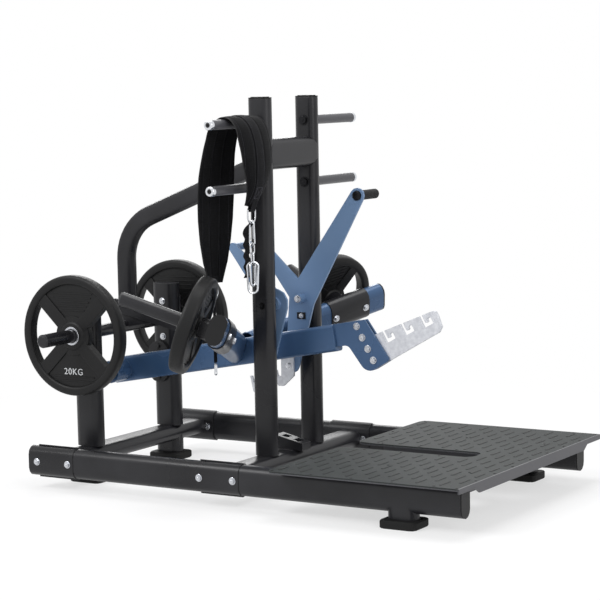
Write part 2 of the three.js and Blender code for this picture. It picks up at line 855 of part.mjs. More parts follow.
class BraceLine extends THREE.Curve {
  constructor(start, bendStart, bendCentre, bendAngle, end) {
    super();
    const arc = braceBendRadius * bendAngle;
    const lengths = [start.distanceTo(bendStart), arc, 0];
    const bendEnd = this.onArc(bendCentre, bendAngle);
    lengths[2] = bendEnd.distanceTo(end);
    Object.assign(this, { start, bendStart, bendCentre, bendAngle, bendEnd, end, lengths });
  }

  onArc(centre, angle) {
    const x = centre.x - braceBendRadius * Math.cos(angle);
    return point(x, 0, centre.z + braceBendRadius * Math.sin(angle));
  }

  // The straight runs take one step each, and the bend takes the rest
  shareOfStep(place) {
    const [rise, arc, slope] = this.lengths;
    const total = rise + arc + slope;
    const spot = place * braceSteps;
    if (spot <= 1) {
      return (spot * rise) / total;
    }
    if (spot >= braceSteps - 1) {
      return 1 - ((braceSteps - spot) * slope) / total;
    }
    return (rise + (arc * (spot - 1)) / (braceSteps - 2)) / total;
  }

  getPointAt(place) {
    return this.getPoint(this.shareOfStep(place));
  }

  getTangentAt(place) {
    return this.getTangent(this.shareOfStep(place));
  }

  getPoint(share) {
    const [rise, arc, slope] = this.lengths;
    const along = share * (rise + arc + slope);
    if (along < rise) {
      return this.start.clone().lerp(this.bendStart, along / rise);
    }
    if (along < rise + arc) {
      return this.onArc(this.bendCentre, ((along - rise) / arc) * this.bendAngle);
    }
    return this.bendEnd.clone().lerp(this.end, (along - rise - arc) / slope);
  }
}

function braceSolid(inset) {
  const bendAngle = Math.PI / 2 - braceRiseAngle;
  const end = point(crossbarX, 0, braceTopZ);
  const meetZ = braceTopZ - (end.x - rearFrameX) * Math.tan(braceRiseAngle);
  const bendStart = point(rearFrameX, 0, meetZ - braceBendRadius * Math.tan(bendAngle / 2));
  const bendCentre = point(rearFrameX + braceBendRadius, 0, bendStart.z);
  const start = point(rearFrameX, 0, hornZ);
  const line = new BraceLine(start, bendStart, bendCentre, bendAngle, end);
  const halfWidth = braceWidth / 2 - inset;
  const halfDepth = braceDepth / 2 - inset;
  const section = rectangle(-halfDepth, halfDepth, -halfWidth, halfWidth, braceCorner - inset);
  return toSolid(new THREE.ExtrudeGeometry(section, {
    steps: braceSteps, extrudePath: line, curveSegments: 1, bevelEnabled: false,
  }));
}

function addBrace() {
  const belowHead = roundedShape([
    headPoint(-headDepth, -seatGap), headPoint(-headDepth, headLength),
    headPoint(headLength, headLength), headPoint(headLength, -seatGap),
  ]);
  const head = plateXZ(belowHead, -braceWidth, braceWidth);
  const bar = crossbarBody(seatGap);
  const brace = cutBy(braceSolid(0), braceSolid(braceWall), head, bar);
  addPiece('brace_tube', largest(brace), black);
}

function largest(solid) {
  const parts = solid.decompose();
  return parts.reduce((best, part) => (part.volume() > best.volume() ? part : best));
}

// Uprights, crossbar and storage horns

function uprightBody(side, growth) {
  const y = side * uprightY;
  const shape = ovalShape(uprightDepth + 2 * growth, uprightWidth + 2 * growth, frontFrameX, y);
  return columnXY(shape, beamTopZ + seatGap, uprightTop);
}

function crossbarBody(growth) {
  const shape = standingOval(tubeHeight + 2 * growth, tubeWidth + 2 * growth, crossbarX, crossbarZ);
  return plateXZ(shape, -uprightY, uprightY);
}

function addUprights() {
  [-1, 1].forEach((side) => {
    const hand = side < 0 ? 'right' : 'left';
    const y = side * uprightY;
    const shape = ovalTubeShape(uprightDepth, uprightWidth, uprightWall, frontFrameX, y);
    const tube = columnXY(shape, beamTopZ + seatGap, uprightTop);
    const holeEnds = [side * (uprightInnerY - overrun), side * (uprightOuterY + overrun)];
    const hornHoles = storageHornHeights.map((z) => {
      return rodY(boltRadius + seatGap, frontFrameX, z, ...holeEnds, smallSides);
    });
    const shaftHole = rodY(catchShaftRadius + seatGap, catchX, catchZ, ...holeEnds);
    addPiece(`upright_${hand}`, cutBy(tube, ...hornHoles, shaftHole), black);
    addPiece(`upright_cap_${hand}`, uprightCap(side), plastic);
    storageHornHeights.forEach((z, i) => {
      addPiece(`storage_horn_${['lower', 'upper'][i]}_${hand}`, storageHorn(z, side), black);
    });
  });
}

function uprightCap(side) {
  const y = side * uprightY;
  const bottom = uprightTop + seatGap;
  const cover = columnXY(ovalShape(uprightDepth, uprightWidth, frontFrameX, y), bottom, bottom + capThickness);
  const crownShape = ovalShape(uprightDepth - uprightWidth * crownInsetShare, uprightWidth * crownWidthShare, frontFrameX, y);
  const crownTop = bottom + capThickness + uprightCapCrown / 2;
  const crown = columnXY(crownShape, bottom + capThickness / 2, crownTop);
  const slack = 2 * (uprightWall + seatGap);
  const plug = ovalShape(uprightDepth - slack, uprightWidth - slack, frontFrameX, y);
  return joined(cover, crown, columnXY(plug, bottom - capPlugDepth, bottom + weldDepth));
}

function storageHorn(z, side) {
  const start = uprightOuterY + seatGap;
  const straightEnd = start + storageHornLength - storageTipLength;
  const tip = taperRod(storageHornRadius, storageTipRadius, point(frontFrameX, side * straightEnd, z),
    point(frontFrameX, side * (start + storageHornLength), z), rodSides);
  const inner = uprightInnerY - seatGap;
  return joined(
    rodY(storageHornRadius, frontFrameX, z, side * start, side * (straightEnd + weldDepth)),
    tip,
    rodY(boltRadius, frontFrameX, z, side * (start + weldDepth), side * (inner - weldDepth), smallSides),
    rodY(storageHeadRadius, frontFrameX, z, side * inner, side * (inner - boltHeadHeight), hexSides),
  );
}

function addCrossbar() {
  const shape = standingTube(tubeHeight, tubeWidth, tubeWall, crossbarX, crossbarZ);
  const tube = plateXZ(shape, -uprightY, uprightY);
  addPiece('crossbar', cutBy(tube, uprightBody(-1, seatGap), uprightBody(1, seatGap)), black);
}

// Platform

function platformOutline(inset) {
  const rear = platformRearX + inset;
  const front = platformFrontX - inset;
  const half = platformHalfWidth - inset;
  const slot = slotHalfWidth + inset;
  const end = slotEndX + inset;
  const mouth = slot + slotMouthFlare;
  const mouthX = rear + slotMouthLength;
  return roundedShape([
    [front, -half], [front, half], [rear, half, platformCorner], [rear, mouth, platformCorner],
    [mouthX, slot], [end, slot, slotEndCorner], [end, -slot, slotEndCorner], [mouthX, -slot],
    [rear, -mouth, platformCorner], [rear, -half, platformCorner],
  ]);
}

function deckRib(x, depth) {
  const railFace = railY - tubeWidth / 2;
  const top = deckBottom + weldDepth;
  const halves = [-1, 1].map((side) => {
    const [low, high] = [side * (slotHalfWidth + ribInset), side * (railFace - overrun)].sort((a, b) => a - b);
    return box(x, x + ribThickness, low, high, deckBottom - depth, top);
  });
  return joined(...halves);
}

function deckLip() {
  const top = matTop;
  const end = top - lipEndDepth;
  const middle = top - lipMiddleDepth;
  const ramp = lipMiddleHalfWidth + lipRampLength;
  const half = platformHalfWidth;
  const shape = roundedShape([
    [-half, top], [-half, end], [-ramp, end], [-lipMiddleHalfWidth, middle],
    [lipMiddleHalfWidth, middle], [ramp, end], [half, end], [half, top],
  ]);
  return barYZ(shape, platformFrontX - weldDepth, platformFrontX + lipThickness);
}

function addPlatform() {
  const plate = columnXY(platformOutline(0), deckBottom, deckBottom + deckThickness);
  const lastX = platformFrontX - ribInset * 2;
  const pitch = (lastX - ribFirstX) / (ribCount - 1);
  const ribs = Array.from({ length: ribCount }, (_, i) => deckRib(ribFirstX + i * pitch, ribDepth));
  const edges = [-1, 1].map((side) => {
    const [low, high] = [side * (slotHalfWidth + ribInset), side * (slotHalfWidth + ribInset + ribThickness)]
      .sort((a, b) => a - b);
    return box(ribFirstX, lastX, low, high, deckBottom - ribDepth, deckBottom + weldDepth);
  });
  addPiece('deck_pan', joined(plate, deckLip(), ...ribs, ...edges), deckGrey);
  const mat = columnXY(platformOutline(0), matBottom, matTop);
  const lipZone = box(platformFrontX - weldDepth - seatGap, platformFrontX + overrun,
    -platformHalfWidth - overrun, platformHalfWidth + overrun, matBottom - overrun, matTop + overrun);
  addPiece('platform_mat', cutBy(mat, lipZone), matRubber);
}

// Weight plates

// A spoked plate around the Z axis, its inner face at zero
function plateSolid(radius, thickness) {
  const bore = weightHornRadius + plateBoreClearance;
  const middle = thickness / 2;
  const web = (thickness * plateWebShare) / 2;
  const hub = (thickness * plateHubShare) / 2;
  const rim = radius - rimWidth;
  const upper = [
    [radius, middle - rimBevel], [radius - rimBevel, middle], [rim, middle], [rim, web],
    [plateHubRadius, web], [plateHubRadius, hub], [bore, hub],
  ];
  const lower = upper.map(([r, z]) => [r, -z]).reverse();
  const profile = [...upper, ...lower, upper[0]].map(([r, z]) => new THREE.Vector2(r, middle + z));
  const geometry = new THREE.LatheGeometry(profile, plateSides);
  geometry.rotateX(Math.PI / 2);
  const boreHole = rod(bore, point(0, 0, -overrun), point(0, 0, thickness + overrun), plateSides);
  return cutBy(toSolid(geometry), boreHole, ...plateOpenings(radius, thickness));
}

function plateOpenings(radius, thickness) {
  const inner = radius * openingInnerShare;
  const outer = radius - rimWidth;
  return [0, 1].map((half) => {
    const middle = half * Math.PI;
    const shape = new THREE.Shape();
    shape.absarc(0, 0, outer, middle - openingOuterAngle, middle + openingOuterAngle, false);
    shape.absarc(0, 0, inner, middle + openingInnerAngle, middle - openingInnerAngle, true);
    return columnXY(shape, -overrun, thickness + overrun);
  });
}

// Places a piece built around the Z axis so that Z runs along a direction from a point, X stays level
function placedAlong(solid, origin, along, level) {
  const side = along.clone().cross(level).normalize();
  const basis = new THREE.Matrix4().makeBasis(level, side.clone(), along);
  basis.setPosition(origin);
  return moved(solid, basis);
}

function addRearPlates() {
  const plate = plateSolid(rearPlateRadius, rearPlateThickness);
  [-1, 1].forEach((side) => {
    const y = postOuterY + saddleWall + rearCollarLength + seatGap;
    const placed = placedAlong(plate, point(rearFrameX, side * y, hornZ), point(0, side, 0), point(1, 0, 0));
    addPiece(`rear_plate_${side < 0 ? 'right' : 'left'}`, placed, rubber);
  });
}

// Lever, in a frame at its pivot with X along the beam

function leverMatrix() {
  const matrix = new THREE.Matrix4().makeRotationY(-leverRiseAngle);
  matrix.setPosition(pivotX, 0, pivotZ);
  return matrix;
}

function beamBody(inset, start, end) {
  const halfWidth = beamWidth / 2 - inset;
  const halfHeight = beamHeight / 2 - inset;
  const corner = beamCorner - inset;
  return barYZ(rectangle(-halfWidth, halfWidth, -halfHeight, halfHeight, corner), start, end, 2);
}

function addBeam() {
  const shell = beamBody(0, -beamTail, beamReach);
  const hollow = beamBody(beamWall, -beamTail - overrun, beamReach - beamWall);
  const halfHousing = housingLength / 2;
  const housing = rodY(housingRadius, 0, 0, -halfHousing, halfHousing);
  const bore = rodY(pivotShaftRadius + seatGap, 0, 0, -housingLength, housingLength);
  const beam = cutBy(joined(cutBy(shell, hollow), housing), bore);
  addPiece('lever_beam', moved(beam, leverMatrix()), blue);
  const shaftReach = postInnerY - seatGap * 2;
  addPiece('pivot_shaft', rodY(pivotShaftRadius, pivotX, pivotZ, -shaftReach, shaftReach), bareMetal);
}

// The left arm's own frame: X along the arm, Y along its section's height, Z out of its front flat
function armFrame() {
  const root = point(armRootX, beamWidth / 2, armRootZ);
  const tip = point(armTipX, armTipY, armTipZ);
  const along = tip.clone().sub(root).normalize();
  const levelOut = along.clone().cross(point(0, 0, 1)).normalize();
  const upright = levelOut.clone().cross(along);
  const height = upright.multiplyScalar(Math.cos(armRollAngle)).addScaledVector(levelOut, Math.sin(armRollAngle));
  const front = along.clone().cross(height);
  const matrix = new THREE.Matrix4().makeBasis(along, height, front);
  matrix.setPosition(root);
  return { matrix, root, tip, along, height, front, length: root.distanceTo(tip) };
}

// A flat-oval bar along the arm, its long side along the section's height
function armSection(height, width, start, end) {
  const bar = new THREE.ExtrudeGeometry(ovalShape(height, width), {
    depth: end - start, bevelEnabled: false, curveSegments: arcSteps,
  });
  const turn = new THREE.Matrix4().makeBasis(point(0, 1, 0), point(0, 0, 1), point(1, 0, 0));
  bar.applyMatrix4(turn);
  bar.translate(start, 0, 0);
  return toSolid(bar);
}

function addArms() {
  const frame = armFrame();
  const shell = armSection(tubeHeight, tubeWidth, -tubeHeight, frame.length);
  const slack = 2 * tubeWall;
  const hollow = armSection(tubeHeight - slack, tubeWidth - slack, -tubeHeight - overrun, frame.length + overrun);
  const tube = moved(cutBy(shell, hollow), frame.matrix);
  const beamSide = moved(box(-beamReach, beamReach, -beamReach, beamWidth / 2 + seatGap,
    -beamReach, beamReach), leverMatrix());
  const arm = cutBy(tube, beamSide);
  addPiece('lever_arm_left', arm, blue);
  addPiece('lever_arm_right', mirrored(arm), blue);
  const plugSlack = slack + 2 * seatGap;
  const plug = armSection(tubeHeight - plugSlack, tubeWidth - plugSlack, frame.length - capPlugDepth,
    frame.length + seatGap + weldDepth);
  const cover = armSection(tubeHeight, tubeWidth, frame.length + seatGap, frame.length + seatGap + capThickness);
  const cap = moved(joined(plug, cover), frame.matrix);
  addPiece('arm_cap_left', cap, plastic);
  addPiece('arm_cap_right', mirrored(cap), plastic);
}

function sleeveSolid() {
  const start = sleeveCentre - saddleLength / 2;
  const end = sleeveCentre + saddleLength / 2;
  const outer = armSection(tubeHeight + 2 * sleeveWall, tubeWidth + 2 * sleeveWall, start, end);
  const slack = 2 * seatGap;
  const inner = armSection(tubeHeight + slack, tubeWidth + slack, start - overrun, end + overrun);
  const face = tubeWidth / 2 + sleeveWall;
  const heads = [-1, 1].flatMap((along) => [-1, 1].map((out) => {
    const x = sleeveCentre + (along * saddleBoltSpacing) / 2;
    const base = point(x, 0, out * (face - weldDepth));
    return rod(boltHeadRadius, base, point(x, 0, out * (face + boltHeadHeight)), hexSides);
  }));
  const root = point(sleeveCentre, 0, -face + weldDepth);
  const back = point(0, 0, -1);
  const horn = weightHorn(root, back, leverHornLength);
  const collar = rod(collarRadius, root, root.clone().addScaledVector(back, leverCollarLength + weldDepth));
  return joined(cutBy(outer, inner), ...heads, horn, collar);
}

function addLeverHorns() {
  const frame = armFrame();
  const sleeve = moved(sleeveSolid(), frame.matrix);
  addPiece('lever_weight_horn_left', sleeve, black);
  addPiece('lever_weight_horn_right', mirrored(sleeve), black);
  const reach = tubeWidth / 2 + sleeveWall + leverCollarLength + seatGap;
  const origin = frame.root.clone().addScaledVector(frame.along, sleeveCentre).addScaledVector(frame.front, -reach);
  const plate = plateSolid(leverPlateRadius, leverPlateThickness);
  const placed = placedAlong(plate, origin, frame.front.clone().negate(), frame.along);
  addPiece('lever_plate_left', placed, rubber);
  addPiece('lever_plate_right', mirrored(placed), rubber);
}

// Lever head

function combMatrix() {
  const matrix = new THREE.Matrix4().makeRotationY(-combRiseAngle);
  const drop = beamHeight / 2 - headTipDrop;
  matrix.setPosition(beamReach + seatGap + headTipReach, 0, drop);
  return leverMatrix().multiply(matrix);
}

function sidePlateShape() {
  const top = beamHeight / 2;
  const start = beamReach + seatGap;
  return roundedShape([
    [start, top], [start, top - headHeelDrop],
    [start + headHeelReach, top - headHeelDrop, headHeelCorner],
    [start + headToeReach, top - headToeDrop, headToeCorner],
    [start + headTipReach, top - headTipDrop, headTipCorner],
    [start + headReach, top],
  ]);
}

function combBoltPlaces() {
  return Array.from({ length: 4 }, (_, i) => [-combBoltBack, combBoltFirst + i * combBoltPitch]);
}

function sidePlates() {
  const inner = sidePlateGap / 2;
  const outer = inner + sidePlateThickness;
  const shape = sidePlateShape();
  const comb = combMatrix();
  const right = moved(plateXZ(shape, -outer, -inner, 3), leverMatrix());
  const left = moved(plateXZ(shape, inner, outer, 3), leverMatrix());
  const bolts = combBoltPlaces().map(([x, z]) => moved(combBolt(x, z, outer), comb));
  const holes = combBoltPlaces().map(([x, z]) => {
    return moved(rodY(boltRadius + seatGap, x, z, 0, outer + overrun, smallSides), comb);
  });
  return [joined(right, ...bolts), cutBy(left, ...holes)];
}

function combBolt(x, z, outer) {
  const nearFace = -outer + weldDepth;
  const farFace = outer + seatGap;
  return joined(
    rodY(boltRadius, x, z, nearFace, farFace + weldDepth, smallSides),
    rodY(boltHeadRadius, x, z, nearFace, -outer - boltHeadHeight, hexSides),
    rodY(boltHeadRadius, x, z, farFace, farFace + boltHeadHeight, hexSides),
  );
}

function combTopAt(along) {
  return combRootDepth - ((combRootDepth - combTipDepth) * along) / (combLength - combTipChamfer);
}

function hookSlot(i) {
  const x = combHookFirst + i * combHookPitch;
  const floor = combTopAt(x) - hookSlotDepth;
  const top = combTopAt(x) + overrun;
  const entry = x + hookEntryWidth;
  const tip = entry + hookTipWidth;
  const end = x + hookSlotLength;
  return roundedShape([
    [x, floor, hookCorner], [end, floor, hookCorner],
    [end, floor + hookPocketHeight, hookCorner], [tip, floor + hookPocketHeight, hookCorner],
    [tip, floor + hookTipGap, hookCorner], [entry, floor + hookTipGap, hookCorner],
    [entry, top], [x, top],
  ]);
}

function combSolid() {
  const half = combThickness / 2;
  const tip = combLength;
  const blade = roundedShape([
    [-combRootStep, 0], [tip - combTipChamfer * 2, 0, combTipChamfer], [tip - combTipChamfer / 2, combTipChamfer],
    [tip, combTopAt(tip) - combTipChamfer * 2], [tip, combTopAt(tip) - combTipChamfer / 2, hookCorner],
    [tip - combTipChamfer, combTopAt(tip - combTipChamfer), hookCorner],
    [-combBoltBack, combTopAt(-combBoltBack)],
  ]);
  const tang = rectangle(-combBoltBack - combTangLength / 2, -combBoltBack + combTangLength / 2,
    combTipChamfer, combTangHeight, hookCorner);
  const slots = Array.from({ length: combHookCount }, (_, i) => {
    return plateXZ(hookSlot(i), -combThickness, combThickness, 1);
  });
  const holes = combBoltPlaces().map(([x, z]) => {
    return rodY(boltRadius + seatGap, x, z, -combThickness, combThickness, smallSides);
  });
  const body = joined(plateXZ(blade, -half, half), plateXZ(tang, -half, half, 1));
  return cutBy(body, ...slots, ...holes);
}

function addLeverHead() {
  const [right, left] = sidePlates();
  addPiece('head_plate_right', right, blue);
  addPiece('head_plate_left', left, blue);
  addPiece('hook_comb', moved(combSolid(), combMatrix()), bareMetal);
}

// Catch lever

function catchPlate(side, hasHandle) {
  const inner = catchPlateOffset - catchPlateThickness / 2;
  const outer = catchPlateOffset + catchPlateThickness / 2;
  const [low, high] = [side * inner, side * outer].sort((a, b) => a - b);
  const ends = [
    [catchTailRootRadius, catchTailX, catchTailZ, catchTailEndRadius],
    [catchHubRadius, catchFootX, catchFootZ, catchEndRadius],
  ];
  if (hasHandle) {
    ends.push([catchHubRadius, catchHandleX, catchHandleZ, catchEndRadius]);
  }
  const arms = ends.map(([rootRadius, ...end]) => {
    return plateXZ(taperShape(catchX, catchZ, rootRadius, ...end), low, high);
  });
  const boss = rodY(catchBossRadius, catchX, catchZ, side * inner, side * (outer + catchBossLength));
  const bossEnd = side * (inner - catchInnerBossLength);
  const innerBoss = rodY(catchInnerBossRadius, catchX, catchZ, side * outer, bossEnd);
  const bolt = rodY(boltHeadRadius, catchX, catchPivotBoltZ, side * inner, side * (inner - boltHeadHeight), hexSides);
  const bore = rodY(catchShaftRadius + turnGap, catchX, catchZ, 0, side * uprightInnerY, boreSides);
  return cutBy(joined(...arms, boss, innerBoss, bolt), bore);
}

function handleSolid() {
  const start = catchPlateOffset - catchPlateThickness / 2 - boltHeadHeight;
  const end = catchPlateOffset + handleLength;
  return rodY(handleRadius, catchHandleX, catchHandleZ, start, end);
}

function jawShape() {
  return roundedShape([
    [jawStemRearX, jawTop, jawCorner],
    [jawStemRearX, jawThroatZ, jawCorner],
    [jawThroatX, jawThroatZ, jawCorner],
    [jawTipX + jawTipWidth, jawTipZ],
    [jawTipX, jawTipZ],
    [jawToeX - jawTipWidth, jawBottom, jawCorner],
    [jawToeX + 2 * jawTipWidth, jawBottom, jawCorner],
    [jawStemFrontX, jawKneeZ, jawCorner],
    [jawStemFrontX, jawTop, jawCorner],
  ]);
}

function jawSolid(side) {
  const outer = catchPlateOffset - catchPlateThickness / 2 - seatGap;
  const [low, high] = [side * (outer - jawThickness), side * outer].sort((a, b) => a - b);
  const bolts = [catchFootZ, jawTop - (jawTop - catchFootZ) * jawBoltShare].map((z) => {
    const start = side * (outer - jawThickness + weldDepth);
    return rodY(boltHeadRadius, jawBoltX, z, start, side * (outer - jawThickness - boltHeadHeight), hexSides);
  });
  return joined(plateXZ(jawShape(), low, high, 2), ...bolts);
}

function addCatch() {
  const handleBore = rodY(handleRadius + seatGap, catchHandleX, catchHandleZ, 0, uprightInnerY);
  addPiece('catch_plate_right', catchPlate(-1, false), blue);
  addPiece('catch_plate_left', cutBy(catchPlate(1, true), handleBore), blue);
  addPiece('catch_handle', handleSolid(), rubber);
  const reach = catchPlateOffset - catchPlateThickness / 2 - seatGap;
  addPiece('catch_cross_tube', rodY(catchTubeRadius, catchTailX, catchTailZ, -reach, reach), blue);
  addPiece('catch_jaw_right', jawSolid(-1), bareMetal);
  addPiece('catch_jaw_left', jawSolid(1), bareMetal);
  addPiece('catch_shaft_right', catchShaft(-1), black);
  addPiece('catch_shaft_left', catchShaft(1), black);
}

// A stub through one upright and its catch plate's boss, with a hexagon at each end
function catchShaft(side) {
  const outer = side * (uprightOuterY + seatGap);
  const bossEnd = catchPlateOffset - catchPlateThickness / 2 - catchInnerBossLength;
  const inner = side * (bossEnd - seatGap);
  const heads = [outer, inner].map((start, i) => {
    const out = i === 0 ? side : -side;
    return rodY(catchShaftHeadRadius, catchX, catchZ, start, start + out * boltHeadHeight, hexSides);
  });
  const sunk = side * weldDepth;
  return joined(rodY(catchShaftRadius, catchX, catchZ, inner - sunk, outer + sunk), ...heads);
}

// Hip belt

function beltTopZ() {
  return storageHornHeights[1] + storageHornRadius + beltChordSlack + beltThickness / 2;
}

function beltCurve() {
  const top = beltTopZ();
  const rear = beltRearShares.map(([out, down]) => {
    return point(frontFrameX - out * beltRearSpread, 0, top - down * beltRearDrop);
  });
  const front = beltFrontShares.map(([out, down]) => {
    return point(frontFrameX + out * beltFrontSpread, 0, top - down * beltFrontDrop);
  });
  return new THREE.CatmullRomCurve3([...rear, point(frontFrameX, 0, top), ...front]);
}

function shareAt(shares, place) {
  const spot = place * (shares.length - 1);
  const low = Math.min(Math.floor(spot), shares.length - 2);
  return THREE.MathUtils.lerp(shares[low], shares[low + 1], spot - low);
}

// The padded strap as a closed grid: an outer and an inner face that meet along the edges
function beltStrap() {
  const curve = beltCurve();
  const points = curve.getSpacedPoints(beltStepCount);
  const rows = points.map((p, i) => beltRow(curve, p, i / beltStepCount));
  const positions = rows.flat(2);
  const ringSize = 2 * (beltColumnCount + 1);
  const index = [];
  for (let row = 0; row < beltStepCount; row += 1) {
    for (let k = 0; k < ringSize; k += 1) {
      const a = row * ringSize + k;
      const b = row * ringSize + ((k + 1) % ringSize);
      index.push(a, b, b + ringSize, a, b + ringSize, a + ringSize);
    }
  }
  const last = beltStepCount * ringSize;
  for (let k = 0; k < beltColumnCount; k += 1) {
    const mate = ringSize - 1 - k;
    index.push(k, mate, k + 1, k + 1, mate, mate - 1);
    index.push(last + k, last + k + 1, last + mate, last + k + 1, last + mate - 1, last + mate);
  }
  const geometry = new THREE.BufferGeometry();
  geometry.setAttribute('position', new THREE.BufferAttribute(new Float32Array(positions), 3));
  geometry.setIndex(index);
  return toSolid(geometry);
}

// One ring of points round the strap: across its outer face, then back across its inner face
function beltRow(curve, middle, place) {
  const tangent = curve.getTangentAt(place);
  const normal = point(-tangent.z, 0, tangent.x);
  const width = beltWidth * shareAt(beltWidthShares, place);
  const endShare = Math.max(0, 1 - place / beltShiftShare);
  const centreY = beltCentreY + beltEndShift * endShare;
  const overHorn = Math.min(1, Math.abs(middle.z - beltTopZ()) / beltFrontSpread);
  const row = [1, -1].map((face) => {
    const columns = Array.from({ length: beltColumnCount + 1 }, (_, k) => {
      const across = (face > 0 ? k : beltColumnCount - k) / beltColumnCount;
      const edge = 2 * across - 1;
      const curl = -beltCurl * edge * edge * overHorn;
      const rounding = 1 - beltEdgeThinShare * edge ** 4;
      const lift = (face * beltThickness * rounding) / 2 + curl;
      const y = centreY + (edge * width) / 2;
      return [middle.x + normal.x * lift, y, middle.z + normal.z * lift];
    });
    return columns;
  });
  return [...row[0], ...row[1]];
}

// Where each end's ring bar runs through its tab
function tabBar(curve, place, centreY) {
  const end = curve.getPointAt(place);
  return point(end.x, centreY, end.z - beltTabLength / 2);
}

function beltTab(bar) {
  const half = beltTabThickness / 2;
  const halfWidth = beltTabWidth / 2;
  const bottom = bar.z - ringWireRadius - beltThickness / 2;
  return box(bar.x - half, bar.x + half, bar.y - halfWidth, bar.y + halfWidth, bottom, bar.z + beltTabLength);
}

function ringSolid(bar) {
  const radius = ringWidth / 2 - ringWireRadius;
  const across = point(0, 1, 0);
  const down = point(0, 0, -1);
  const straight = ringHeight - ringWireRadius * 2 - radius;
  const low = bar.clone().addScaledVector(down, straight);
  const bow = wireAlong(new HalfCircle(low, across, down, radius), ringWireRadius, bowSteps);
  const sides = [-1, 1].map((side) => {
    const start = bar.clone().addScaledVector(across, side * radius);
    const end = low.clone().addScaledVector(across, side * radius);
    start.z += ringWireRadius;
    end.z -= weldDepth;
    return rod(ringWireRadius, start, end, wireSides);
  });
  return joined(bow, ...sides, rodY(ringWireRadius, bar.x, bar.z, bar.y - radius, bar.y + radius, wireSides));
}

// Chain links in turn across X and Y, each bitten into the one above it
function chainSolid(top, count) {
  const pitch = linkLength - 4 * linkWireRadius + linkBite;
  const links = Array.from({ length: count }, (_, i) => {
    const start = point(top.x, top.y, top.z - i * pitch);
    const across = i % 2 === 0 ? point(1, 0, 0) : point(0, 1, 0);
    return wireLoop(start, linkLength, linkWidth, linkWireRadius, across);
  });
  const end = point(top.x, top.y, top.z - count * pitch);
  return { solid: joined(...links), end };
}

function ringBottom(bar) {
  return bar.z - ringHeight + ringWireRadius * 2;
}

function addBelt() {
  const curve = beltCurve();
  const frontBar = tabBar(curve, 1, beltCentreY);
  const rearBar = tabBar(curve, 0, beltCentreY + beltEndShift);
  const channels = [frontBar, rearBar].map((bar) => {
    return rodY(ringWireRadius + turnGap, bar.x, bar.z, bar.y - beltTabWidth, bar.y + beltTabWidth, smallSides);
  });
  const strap = joined(beltStrap(), beltTab(frontBar), beltTab(rearBar));
  addPiece('hip_belt', cutBy(strap, ...channels), webbing);
  addPiece('belt_ring_front', ringSolid(frontBar), chrome);
  addFrontChain(frontBar);
  addRearDrop(rearBar);
}

// The front chain: a long snap in the ring, a few links and a wide snap at the bottom
function addFrontChain(bar) {
  const top = point(bar.x, bar.y, ringBottom(bar) + ringWireRadius + seatGap + 2 * snapWireRadius);
  const upper = wireLoop(top, snapLength, snapWidth * snapNarrowShare, snapWireRadius, point(1, 0, 0));
  const chainTop = point(top.x, top.y, top.z - snapLength + 2 * (snapWireRadius + linkWireRadius) - linkBite);
  const links = chainSolid(chainTop, frontLinkCount);
  const snapTop = point(top.x, top.y, links.end.z + 2 * (snapWireRadius - linkWireRadius));
  const snap = wireLoop(snapTop, snapLength, snapWidth, snapWireRadius, point(0, 1, 0));
  addPiece('belt_chain_front', joined(upper, links.solid, snap), chrome);
}

// The rear drop: a short webbing strap in the ring, with a small snap below
function addRearDrop(bar) {
  const low = ringBottom(bar) - rearDropLength;
  const half = rearDropThickness / 2;
  const halfWidth = rearDropWidth / 2;
  const strap = box(bar.x - half, bar.x + half, bar.y - halfWidth, bar.y + halfWidth,
    low, ringBottom(bar) + ringWireRadius);
  const snapTop = point(bar.x, bar.y, low + linkWireRadius);
  const snap = wireLoop(snapTop, rearSnapLength, rearSnapWidth, linkWireRadius, point(0, 1, 0));
  addPiece('belt_drop_rear', joined(ringSolid(bar), strap, snap), chrome);
}

addRails();
addCrossbeams();
addFeet();
addPosts();
addHeadBracket();
addBrace();
addUprights();
addCrossbar();
addPlatform();
addRearPlates();
addBeam();
addArms();
addLeverHorns();
addLeverHead();
addCatch();
addBelt();

export default machine;
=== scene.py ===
"""The looks of a belt squat machine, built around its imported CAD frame."""

from __future__ import annotations

import json
import logging
import math
from collections.abc import Callable, Iterable, Sequence
from dataclasses import dataclass
from enum import Enum
from functools import cached_property

import bmesh
import bpy
from mathutils import Matrix, Vector


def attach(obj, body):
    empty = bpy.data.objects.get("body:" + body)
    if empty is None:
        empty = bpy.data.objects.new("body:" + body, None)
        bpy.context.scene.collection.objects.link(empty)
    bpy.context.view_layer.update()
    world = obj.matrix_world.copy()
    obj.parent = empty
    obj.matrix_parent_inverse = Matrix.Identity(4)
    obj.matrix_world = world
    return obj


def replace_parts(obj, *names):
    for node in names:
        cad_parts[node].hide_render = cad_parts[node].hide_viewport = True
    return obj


Mesh = bmesh.types.BMesh
Socket = bpy.types.NodeSocket
Triple = tuple[float, float, float]
Pair = tuple[float, float]
Rows = tuple[tuple[float, ...], ...]

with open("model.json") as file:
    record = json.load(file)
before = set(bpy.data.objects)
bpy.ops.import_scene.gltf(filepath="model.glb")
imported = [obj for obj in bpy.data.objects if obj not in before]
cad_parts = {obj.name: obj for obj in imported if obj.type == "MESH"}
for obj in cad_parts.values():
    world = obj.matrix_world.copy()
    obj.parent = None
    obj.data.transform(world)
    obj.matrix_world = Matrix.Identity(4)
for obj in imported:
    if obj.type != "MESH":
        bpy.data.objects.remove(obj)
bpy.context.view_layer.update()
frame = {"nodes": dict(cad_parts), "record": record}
LOG = logging.getLogger("belt_squat_machine")

